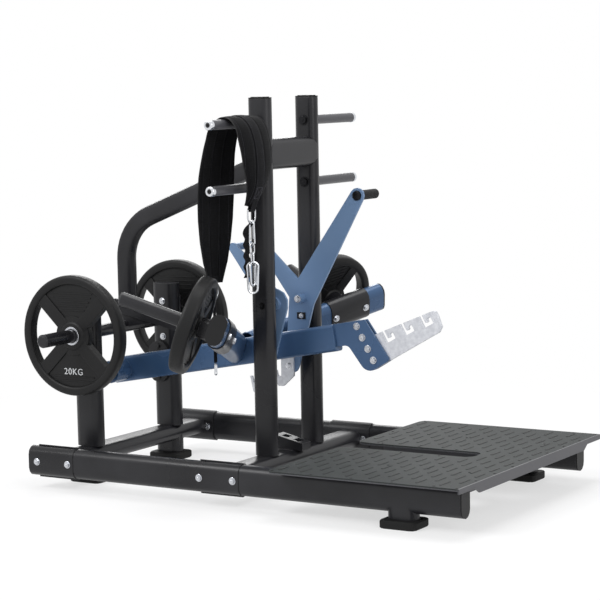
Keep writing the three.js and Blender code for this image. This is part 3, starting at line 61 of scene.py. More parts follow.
MM = 0.001
SIDES = (("right", -1), ("left", 1))
X_AXIS = Vector((1, 0, 0))
Y_AXIS = Vector((0, 1, 0))
Z_AXIS = Vector((0, 0, 1))
SHARP_ANGLE = math.radians(36)
BOLT_SHARP_ANGLE = math.radians(28)
CLOTH_SHARP_ANGLE = math.radians(80)
FLAT_ANGLE = math.radians(0.6)
MERGE_DISTANCE = 1e-5

COAT_GLOSS = 0.32
RUBBER_GLOSS = 0.26
CLOTH_GLOSS = 0.12
NOISE_SPAN = (0.3, 0.7)
WAVE_TURN = 20.0

BOLT_RADIUS = 10.7
FRONT_BAR = (28.0, -310.0, 1036.0)
REAR_BAR = (-150.8, -290.0, 758.0)


def mm(x: float, y: float, z: float) -> Vector:
    """Makes a point in metres.

    Args:
        x: Millimetres along the machine, forwards.
        y: Millimetres across the machine, to its left.
        z: Millimetres above the floor.

    Returns:
        The point.
    """
    return Vector((x, y, z)) * MM


def linear(code: str) -> tuple[float, float, float, float]:
    """Turns an sRGB hex colour into a linear one.

    Args:
        code: The colour as "#rrggbb".

    Returns:
        Linear red, green and blue, and an alpha of one.
    """
    channels = [int(code[i : i + 2], 16) / 255 for i in (1, 3, 5)]
    turned = [c / 12.92 if c <= 0.04045 else ((c + 0.055) / 1.055) ** 2.4 for c in channels]
    return (turned[0], turned[1], turned[2], 1.0)


class Graph:
    """The node tree of one material or world while it is being built."""

    def __init__(self, owner: bpy.types.Material | bpy.types.World) -> None:
        """Starts the owner's tree empty.

        Args:
            owner: The material or the world.
        """
        owner.use_nodes = True
        self.owner = owner
        self.tree = owner.node_tree
        self.tree.nodes.clear()

    def add(self, kind: str, sockets: dict | None = None, **settings: object) -> bpy.types.Node:
        """Adds a node with its settings, values and links.

        Args:
            kind: Blender's name for the node.
            sockets: Input name or number, to a value or to the output that feeds it.
            settings: The node's own properties.

        Returns:
            The new node.
        """
        node = self.tree.nodes.new(kind)
        for key, value in settings.items():
            setattr(node, key, value)
        for key, value in (sockets or {}).items():
            if isinstance(value, Socket):
                self.tree.links.new(value, node.inputs[key])
            else:
                node.inputs[key].default_value = value
        return node

    def noise(self, vector: Socket, size_mm: float, detail: float = 2.0) -> Socket:
        """Returns a noise whose blotches are about size_mm across."""
        sockets = {"Vector": vector, "Scale": 1 / (size_mm * MM), "Detail": detail}
        return self.add("ShaderNodeTexNoise", sockets).outputs["Fac"]

    def spread(self, value: Socket, span: Pair, onto: Pair) -> Socket:
        """Returns value with the span's two ends moved onto two others, and clamped."""
        sockets = {0: value, 1: span[0], 2: span[1], 3: onto[0], 4: onto[1]}
        return self.add("ShaderNodeMapRange", sockets).outputs[0]

    def math(self, operation: str, first: object, second: object = 0.0) -> Socket:
        """Returns the result of one operation on two numbers."""
        return self.add("ShaderNodeMath", {0: first, 1: second}, operation=operation).outputs[0]

    def mix(self, factor: object, first: object, second: object) -> Socket:
        """Returns a colour between two colours."""
        sockets = {0: factor, 6: first, 7: second}
        return self.add("ShaderNodeMix", sockets, data_type="RGBA").outputs[2]

    def bump(self, height: object, depth_mm: float, normal: object = None) -> Socket:
        """Bends the normals as a height field would.

        Args:
            height: The height field, from 0 to 1.
            depth_mm: How deep it is.
            normal: The normals that it starts from, if not the mesh's own.

        Returns:
            The bent normals.
        """
        sockets = {"Height": height, "Distance": depth_mm * MM, "Strength": 1.0}
        if normal is not None:
            sockets["Normal"] = normal
        return self.add("ShaderNodeBump", sockets).outputs["Normal"]

    def round_edges(self, radius_mm: float) -> Socket:
        """Returns normals that round the mesh's edges by a radius."""
        return self.add("ShaderNodeBevel", {"Radius": radius_mm * MM}, samples=4).outputs[0]

    def seen_whole(self) -> Socket:
        """Tells rays that show a surface whole, as camera and glossy rays do, from gathered light.

        Returns:
            One for those rays, and zero for others.
        """
        path = self.add("ShaderNodeLightPath").outputs
        carried = self.math("MAXIMUM", path["Is Glossy Ray"], path["Is Transmission Ray"])
        return self.math("MAXIMUM", path["Is Camera Ray"], carried)

    def finish(self, sockets: dict) -> bpy.types.Material:
        """Closes the tree with one surface shader and returns the material.

        Args:
            sockets: The shader's inputs.

        Returns:
            The material.
        """
        shader = self.add("ShaderNodeBsdfPrincipled", sockets)
        self.add("ShaderNodeOutputMaterial", {"Surface": shader.outputs[0]})
        return self.owner


@dataclass(frozen=True)
class PowderCoat:
    """Polyester powder coat: sprayed dry and baked, so satin, with a fine orange peel."""

    name: str
    base: str
    wear_and_highlight: str
    roughness: float
    metallic: float = 0.0
    peel_mm: float = 5.0
    peel_depth_mm: float = 0.12
    cloud_mm: float = 260.0
    patch_mm: float = 28.9
    edge_mm: float = 2.2

    def build(self) -> bpy.types.Material:
        """Builds the coat, whose corners are rounder than its faces and paler, partly from rubbed wear and
        partly from a painted highlight.

        Returns:
            The material.
        """
        graph = Graph(bpy.data.materials.new(self.name))
        place = graph.add("ShaderNodeTexCoord").outputs["Object"]
        rounded = graph.round_edges(self.edge_mm)
        flat = graph.add("ShaderNodeNewGeometry").outputs["Normal"]
        sockets = {0: rounded, 1: flat}
        along = graph.add("ShaderNodeVectorMath", sockets, operation="DOT_PRODUCT").outputs["Value"]
        # Edges turn paler: partly rubbed wear, partly a painted highlight where the rounded corners catch the
        # light.
        edge = graph.spread(along, (0.995, 0.86), (0.0, 1.0))
        cloud = graph.noise(place, self.cloud_mm, 4.0)
        patch = graph.spread(graph.noise(place, self.patch_mm), (0.4, 0.7), (0.15, 0.8))
        clouded = graph.spread(cloud, NOISE_SPAN, (0.0, 0.14))
        clouded_tone = graph.mix(clouded, linear(self.base), linear(self.wear_and_highlight))
        colour = graph.mix(graph.math("MULTIPLY", edge, patch), clouded_tone, linear(self.wear_and_highlight))
        # The real peel is under a millimetre across: drawn coarser so that it breaks up the gloss
        peel = graph.noise(place, self.peel_mm, 3.0)
        rough = graph.spread(cloud, NOISE_SPAN, (self.roughness - 0.05, self.roughness + 0.07))
        return graph.finish({
            "Base Color": colour, "Roughness": rough, "Metallic": self.metallic,
            "Specular IOR Level": COAT_GLOSS, "Normal": graph.bump(peel, self.peel_depth_mm, rounded),
        })


@dataclass(frozen=True)
class BareSteel:
    """Laser-cut steel, brushed one way and zinc plated: pale, satin, with faint cloudy spangle."""

    name: str
    base: str
    dull: str
    roughness: float
    lay_degrees: float = 0.0
    lay_stretch: float = 0.04
    streak_mm: float = 1.6
    streak_depth_mm: float = 0.05
    spangle_mm: float = 16.0
    edge_mm: float = 1.2
    metallic: float = 0.75

    def build(self) -> bpy.types.Material:
        """Builds the steel, with streaks along its lay and cloudy patches of the plating.

        Returns:
            The material.
        """
        graph = Graph(bpy.data.materials.new(self.name))
        place = graph.add("ShaderNodeTexCoord").outputs["Object"]
        turn = (0.0, math.radians(self.lay_degrees), 0.0)
        sockets = {"Vector": place, "Rotation": turn, "Scale": (self.lay_stretch, 1.0, 1.0)}
        lay = graph.add("ShaderNodeMapping", sockets).outputs[0]
        streaks = graph.noise(lay, self.streak_mm, 4.0)
        spangle = graph.noise(place, self.spangle_mm, 5.0)
        clouded = graph.spread(spangle, (0.35, 0.65), (0.0, 1.0))
        tone = graph.mix(clouded, linear(self.base), linear(self.dull))
        colour = graph.mix(graph.spread(streaks, NOISE_SPAN, (0.0, 0.35)), tone, linear(self.dull))
        rough = graph.spread(streaks, NOISE_SPAN, (self.roughness - 0.06, self.roughness + 0.1))
        rounded = graph.round_edges(self.edge_mm)
        return graph.finish({
            "Base Color": colour, "Roughness": rough, "Metallic": self.metallic,
            "Normal": graph.bump(streaks, self.streak_depth_mm, rounded),
        })


@dataclass(frozen=True)
class BrightPlate:
    """Nickel-chrome or bright zinc on drawn wire and turned heads: mirror-like, faintly smudged."""

    name: str
    base: str
    roughness: float
    smudged: str = "#8f9297"
    smudge_mm: float = 9.0

    def build(self) -> bpy.types.Material:
        """Builds the plating, whose gloss is broken by handling marks.

        Returns:
            The material.
        """
        graph = Graph(bpy.data.materials.new(self.name))
        place = graph.add("ShaderNodeTexCoord").outputs["Object"]
        smudge = graph.noise(place, self.smudge_mm, 4.0)
        rough = graph.spread(smudge, (0.35, 0.7), (self.roughness, self.roughness + 0.16))
        share = graph.spread(smudge, (0.4, 0.7), (0.0, 0.3))
        colour = graph.mix(share, linear(self.base), linear(self.smudged))
        return graph.finish({"Base Color": colour, "Roughness": rough, "Metallic": 1.0})


@dataclass(frozen=True)
class Moulded:
    """Moulded rubber or nylon: matte, with the spark-eroded grain of its tool."""

    name: str
    base: str
    dusty: str
    roughness: float
    grain_mm: float = 4.0
    grain_depth_mm: float = 0.25
    blotch_mm: float = 70.0
    dust: float = 0.35

    def build(self) -> bpy.types.Material:
        """Builds the moulding, with pale dust that lies on its upward faces.

        Returns:
            The material.
        """
        graph = Graph(bpy.data.materials.new(self.name))
        place = graph.add("ShaderNodeTexCoord").outputs["Object"]
        # The real grain is finer: drawn coarser so that it still softens the gloss
        grain = graph.noise(place, self.grain_mm, 4.0)
        blotch = graph.noise(place, self.blotch_mm, 4.0)
        normal = graph.add("ShaderNodeNewGeometry").outputs["Normal"]
        up = graph.add("ShaderNodeSeparateXYZ", {0: normal}).outputs["Z"]
        lying = graph.spread(up, (0.2, 1.0), (0.25, 1.0))
        settled = graph.math("MULTIPLY", lying, graph.spread(blotch, NOISE_SPAN, (0.0, self.dust)))
        colour = graph.mix(settled, linear(self.base), linear(self.dusty))
        rough = graph.spread(grain, NOISE_SPAN, (self.roughness - 0.08, self.roughness + 0.08))
        return graph.finish({
            "Base Color": colour, "Roughness": rough, "Specular IOR Level": RUBBER_GLOSS,
            "Normal": graph.bump(grain, self.grain_depth_mm),
        })


@dataclass(frozen=True)
class Webbing:
    """Woven nylon over foam: near black, with a soft sheen, thread ribs and stitch rows."""

    name: str
    base: str
    thread: str
    rib_mm: float
    stitch_rows: tuple[float, ...] = ()
    stitch: str = "#2c2c31"
    stitch_mm: float = 7.0
    stitch_share: float = 0.62
    stitch_half_mm: float = 1.1
    fuzz_mm: float = 22.0
    depth_mm: float = 0.35
    roughness: float = 0.88
    sheen: float = 0.06

    def build(self) -> bpy.types.Material:
        """Builds the cloth on the piece's own UV map, which is in metres along and across.

        Returns:
            The material.
        """
        graph = Graph(bpy.data.materials.new(self.name))
        flat = graph.add("ShaderNodeUVMap", uv_map="cloth").outputs[0]
        # Real threads are half a millimetre apart: drawn at rib_mm, the finest that shows
        scale = math.pi / (WAVE_TURN * self.rib_mm * MM)
        weave = {"Scale": scale, "Distortion": 0.6, "Detail": 1.0, "Vector": flat}
        weft = graph.add("ShaderNodeTexWave", weave, bands_direction="X").outputs["Fac"]
        warp = graph.add("ShaderNodeTexWave", weave, bands_direction="Y").outputs["Fac"]
        threads = graph.math("MULTIPLY", weft, warp)
        fuzz = graph.spread(graph.noise(flat, self.fuzz_mm, 5.0), NOISE_SPAN, (0.0, 0.4))
        tone = graph.math("ADD", graph.math("MULTIPLY", threads, 0.4), fuzz)
        colour = graph.mix(tone, linear(self.base), linear(self.thread))
        parts = graph.add("ShaderNodeSeparateXYZ", {0: flat}).outputs
        along = graph.math("FRACT", graph.math("DIVIDE", parts["X"], self.stitch_mm * MM))
        dash = graph.math("LESS_THAN", along, self.stitch_share)
        height = threads
        for row in self.stitch_rows:
            away = graph.math("ABSOLUTE", graph.math("SUBTRACT", parts["Y"], row * MM))
            sewn = graph.math("MULTIPLY", graph.math("LESS_THAN", away, self.stitch_half_mm * MM), dash)
            colour = graph.mix(sewn, colour, linear(self.stitch))
            height = graph.math("ADD", height, graph.math("MULTIPLY", sewn, 2.0))
        return graph.finish({
            "Base Color": colour, "Roughness": self.roughness, "Specular IOR Level": CLOTH_GLOSS,
            "Sheen Weight": self.sheen, "Sheen Roughness": 0.4, "Normal": graph.bump(height, self.depth_mm),
        })


class Skin(Enum):
    """Every finish on the machine."""

    # Each coat's second colour is the paler tone of its clouds and of its edges; on the edges it is partly
    # rubbed wear and partly a painted highlight.
    BLACK_COAT = PowderCoat("black_powder_coat", "#17171a", "#59595e", 0.3)
    # Paler than the black coat: on the deck pan it is the black coat painted lighter for light from above; on
    # the storage horns it is partly their grey finish and partly the floor's reflection painted in.
    GREY_PAINTED_LIGHT_COAT = PowderCoat("grey_powder_coat_painted_light", "#434347", "#66676c", 0.34)
    BLUE_COAT = PowderCoat("blue_powder_coat", "#38557a", "#8199b6", 0.27, metallic=0.15)
    # The catch's paler blue is partly its own paint and partly painted light: a lit tone of the lever's blue.
    CATCH_COAT = PowderCoat("pale_blue_powder_coat", "#6884a8", "#9db2cb", 0.36, metallic=0.1)
    COMB_STEEL = BareSteel("zinc_plated_comb", "#dcdee3", "#c9cbd1", 0.42, lay_degrees=29.2)
    SHAFT_STEEL = BareSteel("ground_steel_shaft", "#c8cace", "#9fa1a6", 0.3)
    CHROME = BrightPlate("chrome_plated_wire", "#dcdee2", 0.12)
    ZINC = BrightPlate("bright_zinc_fastener", "#c9cbd0", 0.2)
    BLACK_OXIDE = BrightPlate("black_oxide_fastener", "#2a2a2c", 0.24, smudged="#161617")
    CAP_PLASTIC = Moulded("nylon_end_cap", "#101011", "#242426", 0.46, grain_mm=3.0, grain_depth_mm=0.1)
    FOOT_RUBBER = Moulded("rubber_foot", "#141414", "#2e2e2e", 0.72)
    HOUSING = PowderCoat("cast_bearing_housing", "#1b1b1d", "#38383b", 0.5, peel_mm=8.0)
    PLATE_RUBBER = Moulded(
        "rubber_coated_plate", "#0f0f10", "#242425", 0.48, grain_mm=6.0, grain_depth_mm=0.35,
    )
    MAT_RUBBER = Moulded("ribbed_platform_rubber", "#2c2f2f", "#3a3e3e", 0.66, grain_mm=3.2)
    # The ribs' rubber is darker than the mat's: painted shade, for the dark look of the mat's grooves.
    RIB_SHADE_RUBBER = Moulded("platform_rib_painted_shade_rubber", "#1b1d1d", "#2c2e2e", 0.6, grain_mm=3.2, dust=0.25)
    GRIP_RUBBER = Moulded("rubber_grip", "#161617", "#303032", 0.6)
    NUMBER_PAINT = Moulded("pale_plate_lettering", "#c4c6c8", "#9a9c9e", 0.5, dust=0.3)
    PAD_CLOTH = Webbing(
        "padded_belt_cloth", "#070708", "#17171a", 4.5, stitch_rows=(-84.0, 84.0, -30.0, 30.0),
    )
    THREAD = Moulded("bonded_thread", "#3a3a40", "#55555c", 0.7)
    STRAP_WEB = Webbing("belt_webbing", "#0b0b0c", "#232327", 3.2, stitch_rows=(-20.0, 20.0))


MADE: dict[Skin, bpy.types.Material] = {}
BODY_OF = {node: body for body, nodes in frame["record"]["behaviour"]["bodies"].items() for node in nodes}
SLOT_OF = {row["node"]: row["material_slot"] for row in frame["record"]["subparts"]}


@dataclass(frozen=True)
class Piece:
    """A new piece: a mesh in place, with its finish, its body and the record's slot."""

    name: str
    skin: Skin
    body: str
    slot: str

    def place(self, mesh: Mesh, sharp: float = SHARP_ANGLE) -> bpy.types.Object:
        """Makes the object from a mesh that is already in place, and frees the mesh.

        Args:
            mesh: The piece's mesh, in metres.
            sharp: Edges that turn by more than this many radians are shaded sharp.

        Returns:
            The object, dressed and riding on its body.
        """
        for face in mesh.faces:
            face.smooth = True
        for edge in mesh.edges:
            edge.smooth = len(edge.link_faces) == 2 and edge.calc_face_angle(0.0) < sharp
        data = bpy.data.meshes.new(self.name)
        mesh.to_mesh(data)
        mesh.free()
        if self.skin not in MADE:
            MADE[self.skin] = self.skin.value.build()
        data.materials.append(MADE[self.skin])
        made = bpy.data.objects.new(self.name, data)
        bpy.context.scene.collection.objects.link(made)
        made.modifiers.new("weighted", "WEIGHTED_NORMAL").keep_sharp = True
        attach(made, self.body)
        return made


def resurfaced(node: str, skin: Skin) -> None:
    """Shows a CAD node as a merged copy, so that its curved faces shade smoothly.

    Args:
        node: The CAD node's name.
        skin: Its finish.
    """
    mesh = bmesh.new()
    mesh.from_mesh(frame["nodes"][node].data)
    bmesh.ops.remove_doubles(mesh, verts=mesh.verts, dist=MERGE_DISTANCE)
    bmesh.ops.dissolve_limit(
        mesh, angle_limit=FLAT_ANGLE, verts=mesh.verts, edges=mesh.edges, use_dissolve_boundaries=False,
    )
    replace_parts(Piece(f"{node}_surface", skin, BODY_OF[node], SLOT_OF[node]).place(mesh), node)


def lathe(profile: Sequence[Pair], steps: int = 72, closed: bool = False) -> Mesh:
    """Turns a profile of (radius, height) in millimetres about +Z.

    Args:
        profile: The profile's corners. Its ends lie on the axis unless it is closed.
        steps: How many steps make the full turn.
        closed: Whether the profile is a loop that stays off the axis.

    Returns:
        The turned mesh, about the origin.
    """
    mesh = bmesh.new()
    corners = [mesh.verts.new(mm(radius, 0, height)) for radius, height in profile]
    pairs = list(zip(corners, corners[1:]))
    if closed:
        pairs.append((corners[-1], corners[0]))
    edges = [mesh.edges.new(pair) for pair in pairs]
    bmesh.ops.spin(
        mesh, geom=corners + edges, cent=(0, 0, 0), axis=(0, 0, 1), angle=2 * math.pi, steps=steps,
        use_merge=True,
    )
    bmesh.ops.remove_doubles(mesh, verts=mesh.verts, dist=MERGE_DISTANCE)
    bmesh.ops.recalc_face_normals(mesh, faces=mesh.faces)
    return mesh


def both_faces(side: Sequence[Pair]) -> list[Pair]:
    """Returns a profile joined to its mirror image below height zero."""
    return [*side, *((radius, -height) for radius, height in reversed(side) if height)]


def box(mesh: Mesh, low: Vector, high: Vector, turn: Matrix | None = None) -> list:
    """Adds a sharp box to a mesh.

    Args:
        mesh: The mesh it is added to.
        low: Its lowest corner, in metres.
        high: Its highest corner.
        turn: Where the box goes after it is made.

    Returns:
        Its corners.
    """
    made = bmesh.ops.create_cube(mesh, size=1.0)["verts"]
    fit = Matrix.Translation((low + high) / 2) @ Matrix.Diagonal((*(high - low), 1.0))
    bmesh.ops.transform(mesh, matrix=(turn or Matrix.Identity(4)) @ fit, verts=made)
    return made


def block(mesh: Mesh, low: Vector, high: Vector, bevel_mm: float, turn: Matrix | None = None) -> None:
    """Adds a box with softened edges to a mesh.

    Args:
        mesh: The mesh it is added to.
        low: Its lowest corner, in metres.
        high: Its highest corner.
        bevel_mm: How wide its edges are broken.
        turn: Where the box goes after it is made.
    """
    edges = list({edge for vert in box(mesh, low, high, turn) for edge in vert.link_edges})
    bmesh.ops.bevel(
        mesh, geom=edges, offset=bevel_mm * MM, segments=2, profile=0.5, affect="EDGES", material=-1,
    )


def merged(target: Mesh, other: Mesh, move: Matrix | None = None) -> None:
    """Adds one mesh to another and frees it.

    Args:
        target: The mesh that grows.
        other: The mesh that is added.
        move: Where it goes first, if it moves.
    """
    if move is not None:
        bmesh.ops.transform(other, matrix=move, verts=other.verts)
    data = bpy.data.meshes.new("part")
    other.to_mesh(data)
    other.free()
    target.from_mesh(data)
    bpy.data.meshes.remove(data)


def turned(profile: Sequence[Pair], steps: int, move: Matrix, closed: bool = False) -> Mesh:
    """Turns a profile about +Z and moves it into place.

    Args:
        profile: Its corners, as radii and heights in millimetres.
        steps: How many steps make the turn.
        move: Takes the shape from its own frame to its place.
        closed: Whether the profile is a loop that stays off the axis.

    Returns:
        The mesh.
    """
    mesh = lathe(profile, steps, closed)
    bmesh.ops.transform(mesh, matrix=move, verts=mesh.verts)
    return mesh


def basis(across: Vector, up: Vector, out: Vector, origin: Vector) -> Matrix:
    """Returns the matrix that takes the three axes to these directions, at an origin."""
    turn = Matrix((across.normalized(), up.normalized(), out.normalized())).transposed().to_4x4()
    return Matrix.Translation(origin) @ turn


def facing(out: Vector, origin: Vector) -> Matrix:
    """Returns the matrix that takes +Z to a direction, at an origin."""
    return Matrix.Translation(origin) @ out.to_track_quat("Z", "Y").to_matrix().to_4x4()


def as_mesh(curve: bpy.types.Curve) -> Mesh:
    """Turns a curve or a text into a mesh, and removes the curve.

    Args:
        curve: The curve or text.

    Returns:
        Its mesh.
    """
    holder = bpy.data.objects.new(curve.name, curve)
    data = bpy.data.meshes.new_from_object(holder)
    mesh = bmesh.new()
    mesh.from_mesh(data)
    bpy.data.objects.remove(holder)
    bpy.data.curves.remove(curve)
    bpy.data.meshes.remove(data)
    return mesh


def wire(points: Iterable[Vector], radius_mm: float, closed: bool = True, sides: int = 3) -> Mesh:
    """Sweeps a round wire along points.

    Args:
        points: The wire's middle, in metres.
        radius_mm: Its radius.
        closed: Whether its end joins its start.
        sides: The curve's bevel resolution.

    Returns:
        The wire's mesh.
    """
    curve = bpy.data.curves.new("wire", "CURVE")
    curve.dimensions = "3D"
    curve.bevel_depth = radius_mm * MM
    curve.bevel_resolution = sides
    curve.use_fill_caps = not closed
    path = list(points)
    spline = curve.splines.new("POLY")
    spline.points.add(len(path) - 1)
    for spot, where in zip(spline.points, path):
        spot.co = (*where, 1.0)
    spline.use_cyclic_u = closed
    mesh = as_mesh(curve)
    bmesh.ops.remove_doubles(mesh, verts=mesh.verts, dist=MERGE_DISTANCE)
    bmesh.ops.recalc_face_normals(mesh, faces=mesh.faces)
    return mesh


def cloth(place: Callable[[float, float, int], tuple[Vector, Pair]], rows: int, columns: int) -> Mesh:
    """Returns a closed sheet with two faces and a UV map in metres, called cloth.

    Args:
        place: Gives the point and its UV for a share along, a share across and a face's sign.
        rows: How many rows run along.
        columns: How many columns run across.

    Returns:
        The sheet's mesh.
    """
    mesh = bmesh.new()
    layer = mesh.loops.layers.uv.new("cloth")
    where: dict[bmesh.types.BMVert, Pair] = {}
    for face_sign in (1, -1):
        made = bmesh.ops.create_grid(mesh, x_segments=rows, y_segments=columns, size=1.0)["verts"]
        for vert in made:
            vert.co, where[vert] = place((vert.co.x + 1) / 2, vert.co.y, face_sign)
    bmesh.ops.bridge_loops(mesh, edges=[edge for edge in mesh.edges if edge.is_boundary])
    for face in mesh.faces:
        for loop in face.loops:
            loop[layer].uv = where[loop.vert]
    bmesh.ops.recalc_face_normals(mesh, faces=mesh.faces)
    return mesh


@dataclass(frozen=True)
class Frame:
    """The steel frame, its rubber feet and its moulded caps."""

    black: tuple[str, ...] = ("rear_crossbeam", "front_crossbeam", "head_bracket", "brace_tube", "crossbar")
    black_pairs: tuple[str, ...] = (
        "rear_rail", "middle_rail", "front_rail", "rear_post", "rear_weight_horn", "upright",
    )
    horn_pairs: tuple[str, ...] = ("storage_horn_lower", "storage_horn_upper")
    cap_pairs: tuple[str, ...] = ("front_rail_cap", "upright_cap")
    foot_pairs: tuple[str, ...] = ("front_foot", "rear_foot")
    storage_x: float = -21.0
    storage_heights: tuple[float, ...] = (1110.0, 1337.0)
    storage_tip: float = 499.0
    horn_radius: float = 17.5
    rail_centre: tuple[float, ...] = (465.0, 104.0)
    rail_round: float = 31.2
    rail_straight: float = 25.0
    joint_shade_radius: float = 1.4
    rail_joints: tuple[tuple, ...] = (("rear", -651.5), ("front", 67.5))

    def build(self) -> None:
        """Dresses every node of the frame, and adds the horns' tips and the painted shade lines round the
        rails' joints.
        """
        for node in self.black:
            resurfaced(node, Skin.BLACK_COAT)
        # The deck pan takes the grey coat: the black coat painted paler for the light falling on it from
        # above.
        resurfaced("deck_pan", Skin.GREY_PAINTED_LIGHT_COAT)
        # The storage horns take the grey coat: partly their own grey finish, partly the floor's reflection
        # painted in.
        rows = (
            (self.black_pairs, Skin.BLACK_COAT), (self.horn_pairs, Skin.GREY_PAINTED_LIGHT_COAT),
            (self.cap_pairs, Skin.CAP_PLASTIC), (self.foot_pairs, Skin.FOOT_RUBBER),
            (("pivot_bearing",), Skin.HOUSING),
        )
        for names, skin in rows:
            for name in names:
                for side, _ in SIDES:
                    resurfaced(f"{name}_{side}", skin)
        self.horn_tips()
        self.rail_joint_shade_lines()

    def rail_joint_shade_lines(self) -> None:
        """Adds a dark ring round each joint between two rail segments: painted shade, for the shadowed gap
        where they meet.
        """
        turns = [math.pi * i / 16 for i in range(17)]
        for side, sign in SIDES:
            y, z = sign * self.rail_centre[0], self.rail_centre[1]
            for end, x in self.rail_joints:
                line = []
                for flip in (1, -1):
                    for turn in turns:
                        out, up = self.rail_round * math.cos(turn), self.rail_round * math.sin(turn)
                        line.append(mm(x, y + flip * out, z + flip * (self.rail_straight + up)))
                # Each ring is painted shade: a dark line where the flush segments would show a shadowed gap.
                joint_shade = Piece(f"rail_joint_shade_{end}_{side}", Skin.CAP_PLASTIC, "frame", "black_coat")
                joint_shade.place(wire(line, self.joint_shade_radius, sides=1))

    def horn_tips(self) -> None:
        """Adds the bright turned end of each storage horn, with its dark screw."""
        rim = self.horn_radius + 0.8
        profile = [
            (self.horn_radius - 1, -16), (rim, -15), (rim, -3), (rim - 2, 0), (rim - 4.5, 1.2), (9, 1.2),
            (8, -1.5), (0, -1.5),
        ]
        screw = [(0, -2), (6.2, -2), (6.2, 1.6), (5, 2.6), (2.6, 2.6), (2.6, 0.6), (0, 0.6)]
        for side, sign in SIDES:
            for level, height in zip(("lower", "upper"), self.storage_heights):
                spot = facing(Y_AXIS * sign, mm(self.storage_x, sign * self.storage_tip, height))
                shapes = (("tip", profile, Skin.CHROME), ("tip_screw", screw, Skin.CAP_PLASTIC))
                for name, shape, skin in shapes:
                    piece = Piece(f"storage_horn_{level}_{side}_{name}", skin, "frame", "black_coat")
                    piece.place(turned(shape, 40, spot))


@dataclass(frozen=True)
class BoltRow:
    """Hexagon bolts of one size on one body, each as a point on its head and the way it faces."""

    name: str
    body: str
    slot: str
    skin: Skin
    heads: tuple[tuple[Vector, Vector], ...]
    radius: float = BOLT_RADIUS
    height: float = 7.4


